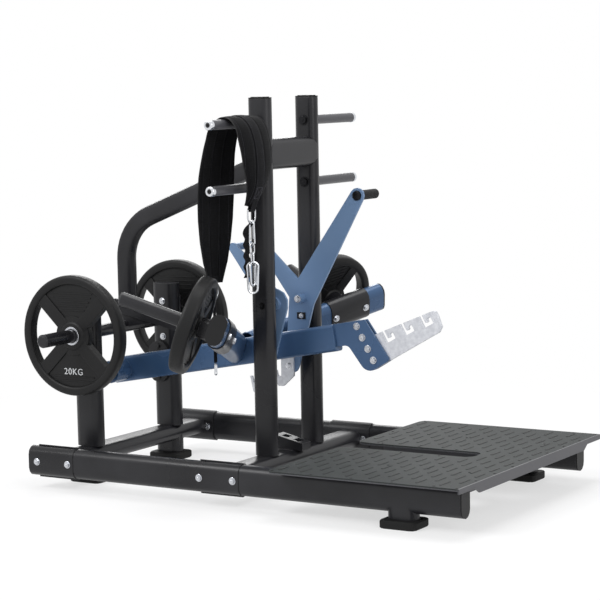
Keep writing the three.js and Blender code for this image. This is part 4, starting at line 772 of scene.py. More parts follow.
@dataclass(frozen=True)
class Fasteners:
    """The bright hexagon heads, their washers and their shank ends."""

    washer_radius: float = 13.5
    proud: float = 0.4
    bevel: float = 1.3
    saddle_x: tuple[float, ...] = (-97.0, 43.0, -816.0, -676.0)
    saddle_y: tuple[float, ...] = (503.3, 422.0)
    saddle_z: float = 104.0
    post_x: float = -740.0
    post_y: tuple[float, ...] = (303.0, 221.7)
    post_heights: tuple[float, ...] = (490.0, 630.0)
    sleeve_axis: tuple[float, ...] = (-0.8733, 0.3480, 0.3410)
    sleeve_backs: Rows = ((-94.7, 389.0, 604.2), (-33.7, 510.9, 636.2))
    sleeve_fronts: Rows = ((-19.6, 359.1, 574.9), (41.4, 481.0, 606.9))
    comb_spots: tuple[Pair, ...] = ((341.9, 483.8), (319.7, 523.6), (297.6, 563.3), (275.4, 603.0))
    comb_faces: tuple[float, ...] = (20.3, 20.6)
    jaw_spots: Rows = ((-72.0, 73.2, 430.0), (-72.0, 73.2, 480.0))
    catch_spots: Rows = ((-15.0, 83.5, 618.0),)
    horn_spots: Rows = ((-21.0, 128.7, 1110.0), (-21.0, 128.7, 1337.0))
    horn_bolt_radius: float = 15.7
    shaft_spots: Rows = ((-15.0, 193.3, 683.0),)
    hub_spots: Rows = ((-15.0, 53.2, 683.0),)

    def heads(self, places: Iterable[Triple], out: Sequence[float]) -> tuple:
        """Works out mirrored pairs of heads from the places on the left side.

        Args:
            places: Points on the left side, in millimetres.
            out: The way that the heads on the left side face.

        Returns:
            A point and a direction for each head.
        """
        rows = []
        for x, y, z in places:
            for _, sign in SIDES:
                rows.append((mm(x, sign * y, z), Vector((out[0], sign * out[1], out[2]))))
        return tuple(rows)

    def rows(self) -> list[BoltRow]:
        """Lists every row of bolts on the machine.

        Returns:
            The rows, in the order of building.
        """
        bolts, nuts = ([(x, y, self.saddle_z) for x in self.saddle_x] for y in self.saddle_y)
        post_bolts, post_nuts = ([(self.post_x, y, z) for z in self.post_heights] for y in self.post_y)
        left, right = (0, 1, 0), (0, -1, 0)
        back, ahead = self.sleeve_axis, [-part for part in self.sleeve_axis]
        near, far = self.comb_faces
        table = [
            ("saddle_bolts", "frame", "black_coat", Skin.ZINC, self.heads(bolts, left)),
            ("saddle_nuts", "frame", "black_coat", Skin.ZINC, self.heads(nuts, right)),
            ("post_bolts", "frame", "black_coat", Skin.ZINC, self.heads(post_bolts, left)),
            ("post_nuts", "frame", "black_coat", Skin.ZINC, self.heads(post_nuts, right)),
            ("sleeve_bolts", "lever", "black_coat", Skin.ZINC, self.heads(self.sleeve_backs, back)),
            ("sleeve_nuts", "lever", "black_coat", Skin.ZINC, self.heads(self.sleeve_fronts, ahead)),
            ("comb_bolts", "lever", "blue_coat", Skin.ZINC, self.comb_heads(-near, -Y_AXIS)),
            ("comb_nuts", "lever", "blue_coat", Skin.ZINC, self.comb_heads(far, Y_AXIS)),
            ("jaw_bolts", "catch", "bare_steel", Skin.ZINC, self.heads(self.jaw_spots, right)),
            ("catch_bolts", "catch", "blue_coat", Skin.ZINC, self.heads(self.catch_spots, right)),
            (
                "horn_bolts", "frame", "black_coat", Skin.BLACK_OXIDE, self.heads(self.horn_spots, right),
                self.horn_bolt_radius,
            ),
            ("shaft_bolts", "frame", "bare_steel", Skin.BLACK_OXIDE, self.heads(self.shaft_spots, left)),
            ("hub_bolts", "frame", "bare_steel", Skin.ZINC, self.heads(self.hub_spots, right)),
        ]
        return [BoltRow(*row) for row in table]

    def comb_heads(self, y: float, out: Vector) -> tuple:
        """Returns the heads on one face of the comb's foot."""
        return tuple((mm(x, y, z), out) for x, z in self.comb_spots)

    def head(self, row: BoltRow) -> Mesh:
        """Makes one head that faces +Z, with its outer face a little above the origin.

        Args:
            row: The row that the head belongs to.

        Returns:
            The mesh.
        """
        mesh = bmesh.new()
        made = bmesh.ops.create_cone(
            mesh, cap_ends=True, segments=6, radius1=row.radius * MM, radius2=row.radius * MM,
            depth=row.height * MM,
        )["verts"]
        bmesh.ops.translate(mesh, vec=mm(0, 0, self.proud - row.height / 2), verts=made)
        top = [edge for edge in mesh.edges if all(vert.co.z > 0 for vert in edge.verts)]
        bmesh.ops.bevel(
            mesh, geom=top, offset=self.bevel * MM, segments=2, profile=0.5, affect="EDGES", material=-1,
        )
        low = self.proud - row.height
        wide = self.washer_radius * row.radius / BOLT_RADIUS
        washer = [(0, low), (wide, low), (wide, low + 1.4), (wide - 0.6, low + 1.8), (0, low + 1.8)]
        merged(mesh, lathe(washer, 28))
        shank = lathe([(0, 0), (4.6, 0), (4.6, 1.4), (3.8, 2.0), (0, 2.0)], 20)
        merged(mesh, shank)
        return mesh

    def build(self) -> None:
        """Builds each row as one piece on its body."""
        for row in self.rows():
            mesh = bmesh.new()
            for spot, out in row.heads:
                merged(mesh, self.head(row), facing(out, spot))
            Piece(row.name, row.skin, row.body, row.slot).place(mesh, BOLT_SHARP_ANGLE)


@dataclass(frozen=True)
class Platform:
    """The deck's rubber mat, with its staggered ribs and the screws along its edges."""

    top: float = 169.2
    rib_length: float = 68.0
    rib_width: float = 11.0
    rib_height: float = 1.4
    column_pitch: float = 44.0
    row_pitch: float = 112.0
    x_range: tuple[float, ...] = (262.0, 930.0)
    y_reach: float = 540.0
    slot_half: float = 52.0
    slot_front: float = 748.0
    rib_top: tuple[float, ...] = (0.7, 0.96)
    rib_margin: float = 6.0
    screw_radius: float = 5.5
    screw_columns: tuple[float, ...] = (246.0, 400.0, 555.0, 710.0, 865.0)
    screw_rows: tuple[float, ...] = (558.0, 300.0)
    front_screws: tuple[float, ...] = (-558.0, -420.0, -280.0, -140.0, 0.0, 140.0, 280.0, 420.0, 558.0)
    front_x: float = 948.0
    slot_screws: tuple[float, ...] = (330.0, 480.0, 630.0)
    slot_row: float = 68.0

    def build(self) -> None:
        """Dresses the mat and adds its ribs and screws."""
        resurfaced("platform_mat", Skin.MAT_RUBBER)
        self.ribs()
        self.screws()

    def over_slot(self, x: float, y: float, reach: float) -> bool:
        """Says whether something of this reach at a place would overhang the slot."""
        return abs(y) < self.slot_half + reach and x < self.slot_front + reach

    def ribs(self) -> None:
        """Adds the short raised ribs, which run across the machine in staggered columns."""
        mesh = bmesh.new()
        columns = int((self.x_range[1] - self.x_range[0]) / self.column_pitch) + 1
        for column in range(columns):
            x = self.x_range[0] + column * self.column_pitch
            shift = self.row_pitch / 2 if column % 2 else 0.0
            y = -self.y_reach + self.rib_length / 2 + shift
            while y + self.rib_length / 2 <= self.y_reach:
                if not self.over_slot(x, y, self.rib_length / 2 + self.rib_margin):
                    self.rib(mesh, x, y)
                y += self.row_pitch
        # The ribs are darker than the mat: painted shade, for the dark look of the mat's grooves.
        Piece("platform_ribs", Skin.RIB_SHADE_RUBBER, "frame", "mat_rubber").place(mesh)

    def rib(self, mesh: Mesh, x: float, y: float) -> None:
        """Adds one rib: a low bar whose top is narrower than its foot.

        Args:
            mesh: The mesh that it is added to.
            x: The rib's middle along the machine, in millimetres.
            y: The rib's middle across the machine.
        """
        low = mm(x - self.rib_width / 2, y - self.rib_length / 2, self.top - 1)
        high = mm(x + self.rib_width / 2, y + self.rib_length / 2, self.top + self.rib_height)
        made = box(mesh, low, high)
        middle = mm(x, y, 0)
        for vert in made:
            if vert.co.z > self.top * MM:
                vert.co.x = middle.x + (vert.co.x - middle.x) * self.rib_top[0]
                vert.co.y = middle.y + (vert.co.y - middle.y) * self.rib_top[1]

    def screws(self) -> None:
        """Adds the pan-head screws that hold the mat along its edges and its slot."""
        mesh = bmesh.new()
        spots = [(x, sign * y) for x in self.screw_columns for y in self.screw_rows for _, sign in SIDES]
        spots += [(self.front_x, y) for y in self.front_screws]
        spots += [(x, sign * self.slot_row) for x in self.slot_screws for _, sign in SIDES]
        r = self.screw_radius
        head = [(0, -1), (r, -1), (r, 0.6), (r - 2, 1.8), (0, 2.2)]
        for x, y in spots:
            merged(mesh, lathe(head, 14), Matrix.Translation(mm(x, y, self.top)))
        Piece("platform_screws", Skin.CAP_PLASTIC, "frame", "black_coat").place(mesh)


@dataclass(frozen=True)
class WeightPlate:
    """A rubber-coated plate: a fat rim, four spokes, ribbed panels above and below, two grips."""

    node: str
    across: Vector
    out: Vector
    centre: Vector
    radius: float
    thickness: float
    bore: float = 26.5
    rim_width: float = 35.0
    panel_inset: float = 11.0
    spoke_inset: float = 6.0
    spoke_angles: tuple[float, ...] = (44.0, 136.0, 224.0, 316.0)
    rib_proud: float = 2.6
    rib_rows: tuple[tuple, ...] = ((1, 0.42, 5), (-1, 0.68, 2))

    def build(self) -> None:
        """Builds the plate in place of its CAD node, with its hub ring and its number."""
        move = basis(self.across, self.out.cross(self.across), self.out, self.centre)
        mesh = bmesh.new()
        for part in (self.rim(), self.hub()):
            merged(mesh, part, move)
        self.spokes(mesh, move)
        self.panels(mesh, move)
        plate = Piece(f"{self.node}_body", Skin.PLATE_RUBBER, self.node, "plate_iron").place(mesh)
        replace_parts(plate, self.node)
        ring = turned(self.hub_ring(), 64, move, closed=True)
        Piece(f"{self.node}_hub_ring", Skin.ZINC, self.node, "plate_iron").place(ring)
        self.number(move)

    def rim(self) -> Mesh:
        """Makes the rim, rounded on both shoulders.

        Returns:
            The mesh.
        """
        half = self.thickness / 2
        outer, inner = self.radius, self.radius - self.rim_width
        side = [
            (inner, 0), (inner, half - 9), (inner + 2, half - 4), (inner + 6, half - 1), (inner + 11, half),
            (outer - 13, half), (outer - 7, half - 1.2), (outer - 3, half - 4), (outer - 0.8, half - 9),
            (outer, half - 15),
        ]
        return lathe(both_faces(side), 112, closed=True)

    def hub(self) -> Mesh:
        """Makes the hub, stepped down from a raised collar.

        Returns:
            The mesh.
        """
        half = self.thickness / 2
        face = self.radius * 0.24
        side = [
            (self.bore, 0), (self.bore, half - 2), (self.bore + 2, half - 0.5), (face - 9, half - 0.5),
            (face - 4, half - 2), (face, half - 7), (face + 8, half - 8), (self.radius * 0.33, half - 9),
            (self.radius * 0.34, half - 13),
        ]
        return lathe(both_faces(side), 80, closed=True)

    def hub_ring(self) -> list[Pair]:
        """Works out the profile of the bright steel ring that lines the bore.

        Returns:
            The profile, as radii and heights.
        """
        half = self.thickness / 2
        inner, outer = self.bore - 0.6, self.bore + 8
        side = [
            (inner, 0), (inner, half - 0.5), (inner + 1, half + 0.5), (outer - 1, half + 0.5),
            (outer, half - 0.5),
        ]
        return both_faces(side)

    def spokes(self, mesh: Mesh, move: Matrix) -> None:
        """Adds the four raised spokes, which cross at the hub.

        Args:
            mesh: The mesh that it is added to.
            move: Takes the shape from its own frame to its place.
        """
        half = self.thickness / 2 - self.spoke_inset
        start, end = self.radius * 0.2, self.radius - 28
        for angle in self.spoke_angles:
            turn = move @ Matrix.Rotation(math.radians(angle), 4, "Z")
            width = self.radius * 0.115
            block(mesh, mm(start, -width, -half), mm(end, width, half), 4.0, turn)

    def panels(self, mesh: Mesh, move: Matrix) -> None:
        """Adds the sunk panels above and below, each with level ribs on both faces.

        Args:
            mesh: The mesh that it is added to.
            move: Takes the shape from its own frame to its place.
        """
        face = self.thickness / 2 - self.panel_inset + self.rib_proud
        for sign, first, count in self.rib_rows:
            merged(mesh, self.panel(), move @ Matrix.Rotation(math.pi / 2 * sign, 4, "Z"))
            for i in range(count):
                y = self.radius * (first + 0.07 * i)
                reach = min(y * 0.62, self.radius * 0.42)
                block(mesh, mm(-reach, sign * y - 2.5, -face), mm(reach, sign * y + 2.5, face), 1.2, move)

    def panel(self) -> Mesh:
        """Makes one sector between two spokes, about +X.

        Returns:
            The mesh.
        """
        mesh = bmesh.new()
        half = self.thickness / 2 - self.panel_inset
        inner, outer = self.radius * 0.3, self.radius - 30
        corners = [(inner, -half), (outer, -half), (outer, half), (inner, half)]
        verts = [mesh.verts.new(mm(radius, 0, height)) for radius, height in corners]
        edges = [mesh.edges.new(pair) for pair in zip(verts, verts[1:] + verts[:1])]
        sweep = math.radians(90)
        bmesh.ops.rotate(mesh, verts=verts, cent=(0, 0, 0), matrix=Matrix.Rotation(-sweep / 2, 3, "Z"))
        bmesh.ops.spin(mesh, geom=verts + edges, cent=(0, 0, 0), axis=(0, 0, 1), angle=sweep, steps=22)
        bmesh.ops.holes_fill(mesh, edges=[edge for edge in mesh.edges if edge.is_boundary])
        bmesh.ops.recalc_face_normals(mesh, faces=mesh.faces)
        return mesh

    def number(self, move: Matrix) -> None:
        """Adds the plain weight number on the lower panel of the outer face.

        Args:
            move: Takes the shape from its own frame to its place.
        """
        text = bpy.data.curves.new("number", "FONT")
        text.body = "20KG"
        text.size = self.radius * 0.15 * MM
        text.space_character = 1.12
        text.align_x = "CENTER"
        text.align_y = "CENTER"
        text.extrude = 1.4 * MM
        mesh = as_mesh(text)
        spot = Matrix.Translation(mm(0, -self.radius * 0.6, self.thickness / 2 - 10))
        bmesh.ops.transform(mesh, matrix=move @ spot, verts=mesh.verts)
        Piece(f"{self.node}_number", Skin.NUMBER_PAINT, self.node, "plate_iron").place(mesh)


def weight_plates() -> list[WeightPlate]:
    """Lists the two plates on the rear horns and the two on the lever's horns.

    Returns:
        The four plates.
    """
    plates = []
    for side, sign in SIDES:
        plates.append(WeightPlate(
            f"rear_plate_{side}", X_AXIS * -sign, Y_AXIS * sign, mm(-740, sign * 341.8, 560), 225.0, 47.0,
        ))
        out = Vector((-0.8733, sign * 0.3480, 0.3410)).normalized()
        along = Vector((0.4360, sign * 0.8705, 0.2283))
        across = (along - out * along.dot(out)).normalized() * -sign
        plates.append(WeightPlate(
            f"lever_plate_{side}", across, out, mm(-119.3, sign * 471.9, 641.7), 178.0, 52.0,
        ))
    return plates


@dataclass(frozen=True)
class Lever:
    """The swinging lever: beam, arms, head plates, comb and its weight horns."""

    blue: tuple[str, ...] = (
        "lever_beam", "lever_arm_right", "lever_arm_left", "head_plate_right", "head_plate_left",
    )
    black: tuple[str, ...] = ("lever_weight_horn_right", "lever_weight_horn_left")

    def build(self) -> None:
        """Dresses the lever's nodes."""
        for node in self.blue:
            resurfaced(node, Skin.BLUE_COAT)
        for node in self.black:
            resurfaced(node, Skin.BLACK_COAT)
        for side, _ in SIDES:
            resurfaced(f"arm_cap_{side}", Skin.CAP_PLASTIC)
        resurfaced("hook_comb", Skin.COMB_STEEL)
        resurfaced("pivot_shaft", Skin.SHAFT_STEEL)


@dataclass(frozen=True)
class Catch:
    """The catch lever: two plates, a cross tube, a grip and two hooks."""

    handle_x: float = 226.0
    handle_z: float = 1065.0
    handle_start: float = 105.5
    handle_end: float = 227.0
    hub_x: float = -15.0
    hub_z: float = 683.0
    stub_radius: float = 12.0
    stub_start: float = 60.0
    stub_end: float = 187.0
    pad_faces: tuple[float, ...] = (86.5, 90.8)
    pad_low: tuple[float, ...] = (-35.0, 606.0)
    pad_high: tuple[float, ...] = (1.0, 631.0)
    pad_bevel: float = 1.5
    ridges: int = 9

    def build(self) -> None:
        """Dresses the catch's nodes and adds the grip's turned detail."""
        for node in ("catch_plate_right", "catch_plate_left", "catch_cross_tube"):
            resurfaced(node, Skin.CATCH_COAT)
        for side, _ in SIDES:
            resurfaced(f"catch_jaw_{side}", Skin.COMB_STEEL)
        self.grip()
        self.stubs()
        self.pads()

    def pads(self) -> None:
        """Adds the small black buffer under the bolt of each catch plate."""
        for side, sign in SIDES:
            near, far = sorted(sign * face for face in self.pad_faces)
            (back, low), (front, high) = self.pad_low, self.pad_high
            mesh = bmesh.new()
            block(mesh, mm(back, near, low), mm(front, far, high), self.pad_bevel)
            Piece(f"catch_pad_{side}", Skin.CAP_PLASTIC, "catch", "grip_rubber").place(mesh)

    def stubs(self) -> None:
        """Builds the two turned stubs that the catch turns on, in place of their CAD nodes."""
        low, high, radius = self.stub_start, self.stub_end, self.stub_radius
        for side, sign in SIDES:
            profile = [(0, low), (radius, low), (radius, high), (0, high)]
            mesh = turned(profile, 40, facing(Y_AXIS * sign, mm(self.hub_x, 0, self.hub_z)))
            stub = Piece(f"catch_shaft_{side}_stub", Skin.SHAFT_STEEL, "frame", "bare_steel").place(mesh)
            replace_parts(stub, f"catch_shaft_{side}")

    def grip(self) -> None:
        """Builds the ribbed rubber grip in place of its CAD node, on its steel collar."""
        length = self.handle_end - self.handle_start
        profile = [(0, 0), (15, 0), (16.5, 2)]
        step = (length - 24) / self.ridges
        for i in range(self.ridges):
            start = 10 + i * step
            profile += [(16.2, start), (17.8, start + step * 0.25)]
            profile += [(17.8, start + step * 0.65), (16.2, start + step * 0.9)]
        profile += [(18, length - 10), (18, length - 3), (16, length), (0, length)]
        spot = facing(Y_AXIS, mm(self.handle_x, self.handle_start, self.handle_z))
        grip = Piece("catch_grip", Skin.GRIP_RUBBER, "catch", "grip_rubber").place(turned(profile, 40, spot))
        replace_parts(grip, "catch_handle")
        disc = [(0, -22), (14, -22), (17, -20), (17.5, -17), (17.5, -8), (0, -8)]
        boss = Piece("catch_grip_boss", Skin.BLACK_OXIDE, "catch", "bare_steel")
        boss.place(turned(disc, 40, spot))
        ring = [(10, -6), (19, -6), (19.8, -5), (19.8, -1), (19, 0.4), (10, 0.4)]
        collar = Piece("catch_grip_collar", Skin.SHAFT_STEEL, "catch", "bare_steel")
        collar.place(turned(ring, 40, spot, closed=True))


class Curve:
    """A smooth curve through points, evenly spaced by length."""

    samples: int = 480

    def __init__(self, points: Sequence[Vector]) -> None:
        """Measures the curve through these points.

        Args:
            points: The points that it runs through, in metres.
        """
        self.points = list(points)
        self.dense = [self.raw(i / self.samples) for i in range(self.samples + 1)]
        self.reach = [0.0]
        for here, there in zip(self.dense, self.dense[1:]):
            self.reach.append(self.reach[-1] + (there - here).length)
        self.length = self.reach[-1]

    def raw(self, share: float) -> Vector:
        """Works out the centripetal spline's point at a share of its spans.

        Args:
            share: The share of the spans, from 0 to 1.

        Returns:
            The point, in metres.
        """
        last = len(self.points) - 1
        spot = min(share * last, last - 1e-9)
        i = int(spot)
        t = spot - i
        p1, p2 = self.points[i], self.points[i + 1]
        p0 = self.points[i - 1] if i else p1 * 2 - p2
        p3 = self.points[i + 2] if i + 2 <= last else p2 * 2 - p1
        d0, d1, d2 = ((b - a).length ** 0.5 for a, b in ((p0, p1), (p1, p2), (p2, p3)))
        t1 = ((p1 - p0) / d0 - (p2 - p0) / (d0 + d1) + (p2 - p1) / d1) * d1
        t2 = ((p2 - p1) / d1 - (p3 - p1) / (d1 + d2) + (p3 - p2) / d2) * d1
        c2 = p1 * -3 + p2 * 3 - t1 * 2 - t2
        c3 = p1 * 2 - p2 * 2 + t1 + t2
        return p1 + t1 * t + c2 * t * t + c3 * t ** 3

    def at(self, share: float) -> Vector:
        """Works out the point at a share of the curve's length.

        Args:
            share: A share of the whole length, from 0 to 1.

        Returns:
            The point, in metres.
        """
        want = min(max(share, 0.0), 1.0) * self.length
        low, high = 0, self.samples
        while high - low > 1:
            middle = (low + high) // 2
            if self.reach[middle] <= want:
                low = middle
            else:
                high = middle
        span = self.reach[high] - self.reach[low]
        return self.dense[low].lerp(self.dense[high], (want - self.reach[low]) / span)

    def tangent(self, share: float) -> Vector:
        """Returns the curve's direction at a share of its length."""
        step = 0.004
        return (self.at(share + step) - self.at(share - step)).normalized()


@dataclass(frozen=True)
class HipBelt:
    """The padded hip belt over its horn: a foam band, a webbing strap and two sewn tabs."""

    centre_y: float = -310.0
    end_shift: float = 20.0
    thickness: float = 9.0
    width: float = 190.0
    curl: float = 9.0
    horn_x: float = -21.0
    top_z: float = 1360.8
    spreads: tuple[float, ...] = (110.0, 72.0)
    drops: tuple[float, ...] = (590.0, 312.0)
    rear: tuple[Pair, ...] = (
        (1.18, 1), (1.14, 0.86), (1.05, 0.62), (0.98, 0.46), (0.9, 0.3), (0.77, 0.17), (0.59, 0.075),
        (0.3, 0.02),
    )
    front: tuple[Pair, ...] = (
        (0.45, 0.025), (0.82, 0.11), (1.05, 0.24), (1.17, 0.39), (1.21, 0.58), (1.13, 0.77), (0.88, 0.92),
        (0.68, 1),
    )
    widths: tuple[float, ...] = (0.42, 0.8, 1.02, 1.15, 1.2, 1.18, 1.08, 1.02, 1, 1.04, 1.06, 0.96, 0.64, 0.3)
    grooves: tuple[float, ...] = (-0.88, -0.32, 0.32, 0.88)
    rows: int = 150
    columns: int = 44
    strap_half: float = 24.0
    tab_half: float = 17.0
    groove_half: float = 0.035
    pinch: float = 0.42
    tab_places: Rows = ((0.025, 0.015), (0.975, 0.985))
    stitch_half: float = 17.0
    stitch_spans: Rows = ((0.035, 0.075), (0.925, 0.965))

    @cached_property
    def curve(self) -> Curve:
        """Lays the belt's middle line, from its rear end over the horn to its front end.

        Returns:
            The line.
        """
        line = [(-out * self.spreads[0], down * self.drops[0]) for out, down in self.rear]
        line += [(0.0, 0.0), *((out * self.spreads[1], down * self.drops[1]) for out, down in self.front)]
        return Curve([mm(self.horn_x + out, 0, self.top_z - down) for out, down in line])

    def half_width(self, share: float) -> float:
        """Works out half of the belt's width at a share of its length, in millimetres.

        Args:
            share: The share of the belt's length, from the rear end.

        Returns:
            Half of the width.
        """
        spot = min(max(share, 0.0), 1.0) * (len(self.widths) - 1)
        i = min(int(spot), len(self.widths) - 2)
        t = spot - i
        return self.width / 2 * (self.widths[i] + (self.widths[i + 1] - self.widths[i]) * t)

    def surface(self, share: float, across: float, lift_mm: float) -> Vector:
        """Works out a point on the belt.

        Args:
            share: The share of the belt's length, from the rear end.
            across: From -1 to 1 over the belt's width.
            lift_mm: The height above the middle surface, outwards.

        Returns:
            The point, in metres.
        """
        middle = self.curve.at(share)
        tangent = self.curve.tangent(share)
        normal = Vector((-tangent.z, 0, tangent.x))
        half = self.half_width(share)
        shift = self.end_shift * max(0.0, 1 - share * 3)
        over = min(1.0, abs(middle.z / MM - self.top_z) / self.spreads[1])
        lift = lift_mm - self.curl * across * across * over
        spot = middle + normal * (lift * MM)
        spot.y = (self.centre_y + shift + across * half) * MM
        return spot

    def swell(self, across: float) -> float:
        """Works out half of the pad's thickness across its width, pinched at each sewn channel.

        Args:
            across: From -1 to 1 over the belt's width.

        Returns:
            Half of the thickness, in millimetres.
        """
        half = self.thickness / 2
        plump = 1 - 0.55 * abs(across) ** 4
        pinch = max(math.exp(-((across - groove) / self.groove_half) ** 2) for groove in self.grooves)
        return half * plump * (1 - self.pinch * pinch)

    def band(self) -> Mesh:
        """Makes the foam band, closed round its edges.

        Returns:
            The mesh.
        """

        def place(share: float, across: float, sign: int) -> tuple[Vector, Pair]:
            """Gives the point and its UV for a place on one face of the sheet."""
            flat = (share * self.curve.length, across * self.half_width(share) * MM)
            return self.surface(share, across, sign * self.swell(across)), flat

        return cloth(place, self.rows, self.columns)

    def strip(
        self, path: Callable[[float, float, float], Vector], length: float, half: float, thick: float,
        rows: int,
    ) -> Mesh:
        """Makes flat webbing along a path.

        Args:
            path: Gives the strap's middle at a share of its length, and offsets across it and out of it.
            length: The strap's length in metres.
            half: Half of its width in millimetres.
            thick: Its thickness in millimetres.
            rows: How many rows it has.

        Returns:
            The mesh.
        """

        def place(share: float, across: float, sign: int) -> tuple[Vector, Pair]:
            """Gives the point and its UV for a place on one face of the sheet."""
            edge = thick / 2 * (1 - 0.4 * abs(across) ** 6)
            return path(share, across * half, sign * edge), (share * length, across * half * MM)

        return cloth(place, rows, 8)

    def strap(self) -> Mesh:
        """Makes the webbing sewn along the belt's outer face.

        Returns:
            The mesh.
        """
        start, end = 0.01, 0.99

        def path(share: float, across: float, lift: float) -> Vector:
            """Gives a point of the webbing.

            Args:
                share: A share of the whole length, from 0 to 1.
                across: The offset across it, in millimetres.
                lift: The offset out of it, in millimetres.

            Returns:
                The point, in metres.
            """
            place = start + (end - start) * share
            reach = across / self.half_width(place)
            return self.surface(place, reach, self.thickness / 2 + 0.9 + lift)

        return self.strip(path, self.curve.length * (end - start), self.strap_half, 2.2, 150)

    def tab(self, bar: Triple, front: bool) -> Mesh:
        """Makes the doubled webbing that holds a ring's straight bar.

        Args:
            bar: The middle of the ring's straight bar, in millimetres.
            front: Whether it is the front end's.

        Returns:
            The mesh.
        """
        place, away = self.tab_places[front]
        outer = self.surface(place, 0, self.thickness / 2 + 1.5)
        inner = self.surface(place, 0, -self.thickness / 2 - 1.0)
        root = self.surface(away, 0, 0)
        axis = Vector((bar[0], 0, bar[2])) * MM
        round_radius = 5.6 * MM
        down = (axis - Vector((root.x, 0, root.z))).normalized()
        side = Vector((-down.z, 0, down.x))
        if (outer - root).dot(side) < 0:
            side = -side
        turns = [math.pi * i / 8 for i in range(9)]
        turn = [axis + side * round_radius * math.cos(a) + down * round_radius * math.sin(a) for a in turns]
        flat = [Vector((outer.x, 0, outer.z)), *turn, Vector((inner.x, 0, inner.z))]
        return self.hanging([spot + mm(0, bar[1], 0) for spot in flat], self.tab_half, 2.4, 48)

    def binding(self) -> Mesh:
        """Makes the tape rolled over the belt's two long edges.

        Returns:
            The mesh.
        """
        mesh = bmesh.new()
        for sign in (-1, 1):
            line = [self.surface(i / 200, sign, 0) for i in range(201)]
            merged(mesh, wire(line, 2.3, closed=False, sides=2))
        return mesh

    def stitches(self) -> Mesh:
        """Makes the boxed crosses of thread that hold the webbing at both ends.

        Returns:
            The mesh.
        """
        mesh = bmesh.new()
        reach = self.stitch_half
        for low, high in self.stitch_spans:
            corners = [(low, -reach), (low, reach), (high, reach), (high, -reach)]
            lines = [*zip(corners, corners[1:] + corners[:1]), corners[::2], corners[1::2]]
            for start, end in lines:
                spots = []
                for i in range(9):
                    place = start[0] + (end[0] - start[0]) * i / 8
                    across = start[1] + (end[1] - start[1]) * i / 8
                    reach_share = across / self.half_width(place)
                    spots.append(self.surface(place, reach_share, self.thickness / 2 + 2.3))
                merged(mesh, wire(spots, 0.8, closed=False, sides=1))
        return mesh

    def hanging(self, line: Sequence[Vector], half: float, thick: float = 1.8, rows: int = 90) -> Mesh:
        """Makes webbing that hangs along a line in a plane across the machine.

        Args:
            line: The line's points, in metres.
            half: Half of its width, in millimetres.
            thick: Its thickness, in millimetres.
            rows: How many rows it has.

        Returns:
            The mesh.
        """
        loop = Curve(line)

        def path(share: float, across: float, lift: float) -> Vector:
            """Gives a point of the webbing.

            Args:
                share: A share of the whole length, from 0 to 1.
                across: The offset across it, in millimetres.
                lift: The offset out of it, in millimetres.

            Returns:
                The point, in metres.
            """
            tangent = loop.tangent(share)
            normal = Vector((-tangent.z, 0, tangent.x)).normalized()
            return loop.at(share) + normal * (lift * MM) + Y_AXIS * (across * MM)

        return self.strip(path, loop.length, half, thick, rows)

    def end_straps(self) -> None:
        """Adds the rear strap, doubled through its ring, and the front daisy strap."""
        x, y, _ = REAR_BAR
        side = 1.4
        half = [(side, 484), (side, 600), (side, 700), (4.2, 712)]
        rear = [mm(x + out, y, z) for out, z in half]
        rear += [mm(x, y, 716.4), *(mm(x - out, y, z) for out, z in reversed(half))]
        strap = Piece("belt_rear_strap", Skin.STRAP_WEB, "rear_drop", "belt_fabric")
        strap.place(self.hanging(rear, 8.0), CLOTH_SHARP_ANGLE)
        x, y, _ = FRONT_BAR
        front = [mm(x, y + 8, 992)]
        for i in range(1, 11):
            front.append(mm(x - 22 + (4 if i % 2 else -4), y, 992 - 19.5 * i))
        strap = Piece("belt_front_strap", Skin.STRAP_WEB, "front_chain", "belt_fabric")
        strap.place(self.hanging(front, 19.0), CLOTH_SHARP_ANGLE)

    def build(self) -> None:
        """Builds the belt's pieces in place of its CAD node."""
        band = Piece("hip_belt_pad", Skin.PAD_CLOTH, "belt", "belt_fabric")
        pad = band.place(self.band(), CLOTH_SHARP_ANGLE)
        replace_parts(pad, "hip_belt")
        tabs = {"tab_front": self.tab(FRONT_BAR, True), "tab_rear": self.tab(REAR_BAR, False)}
        for name, mesh in {"webbing": self.strap(), **tabs}.items():
            piece = Piece(f"hip_belt_{name}", Skin.STRAP_WEB, "belt", "belt_fabric")
            piece.place(mesh, CLOTH_SHARP_ANGLE)
        Piece("hip_belt_binding", Skin.GRIP_RUBBER, "belt", "belt_fabric").place(self.binding())
        Piece("hip_belt_stitches", Skin.THREAD, "belt", "belt_fabric").place(self.stitches())
        self.end_straps()


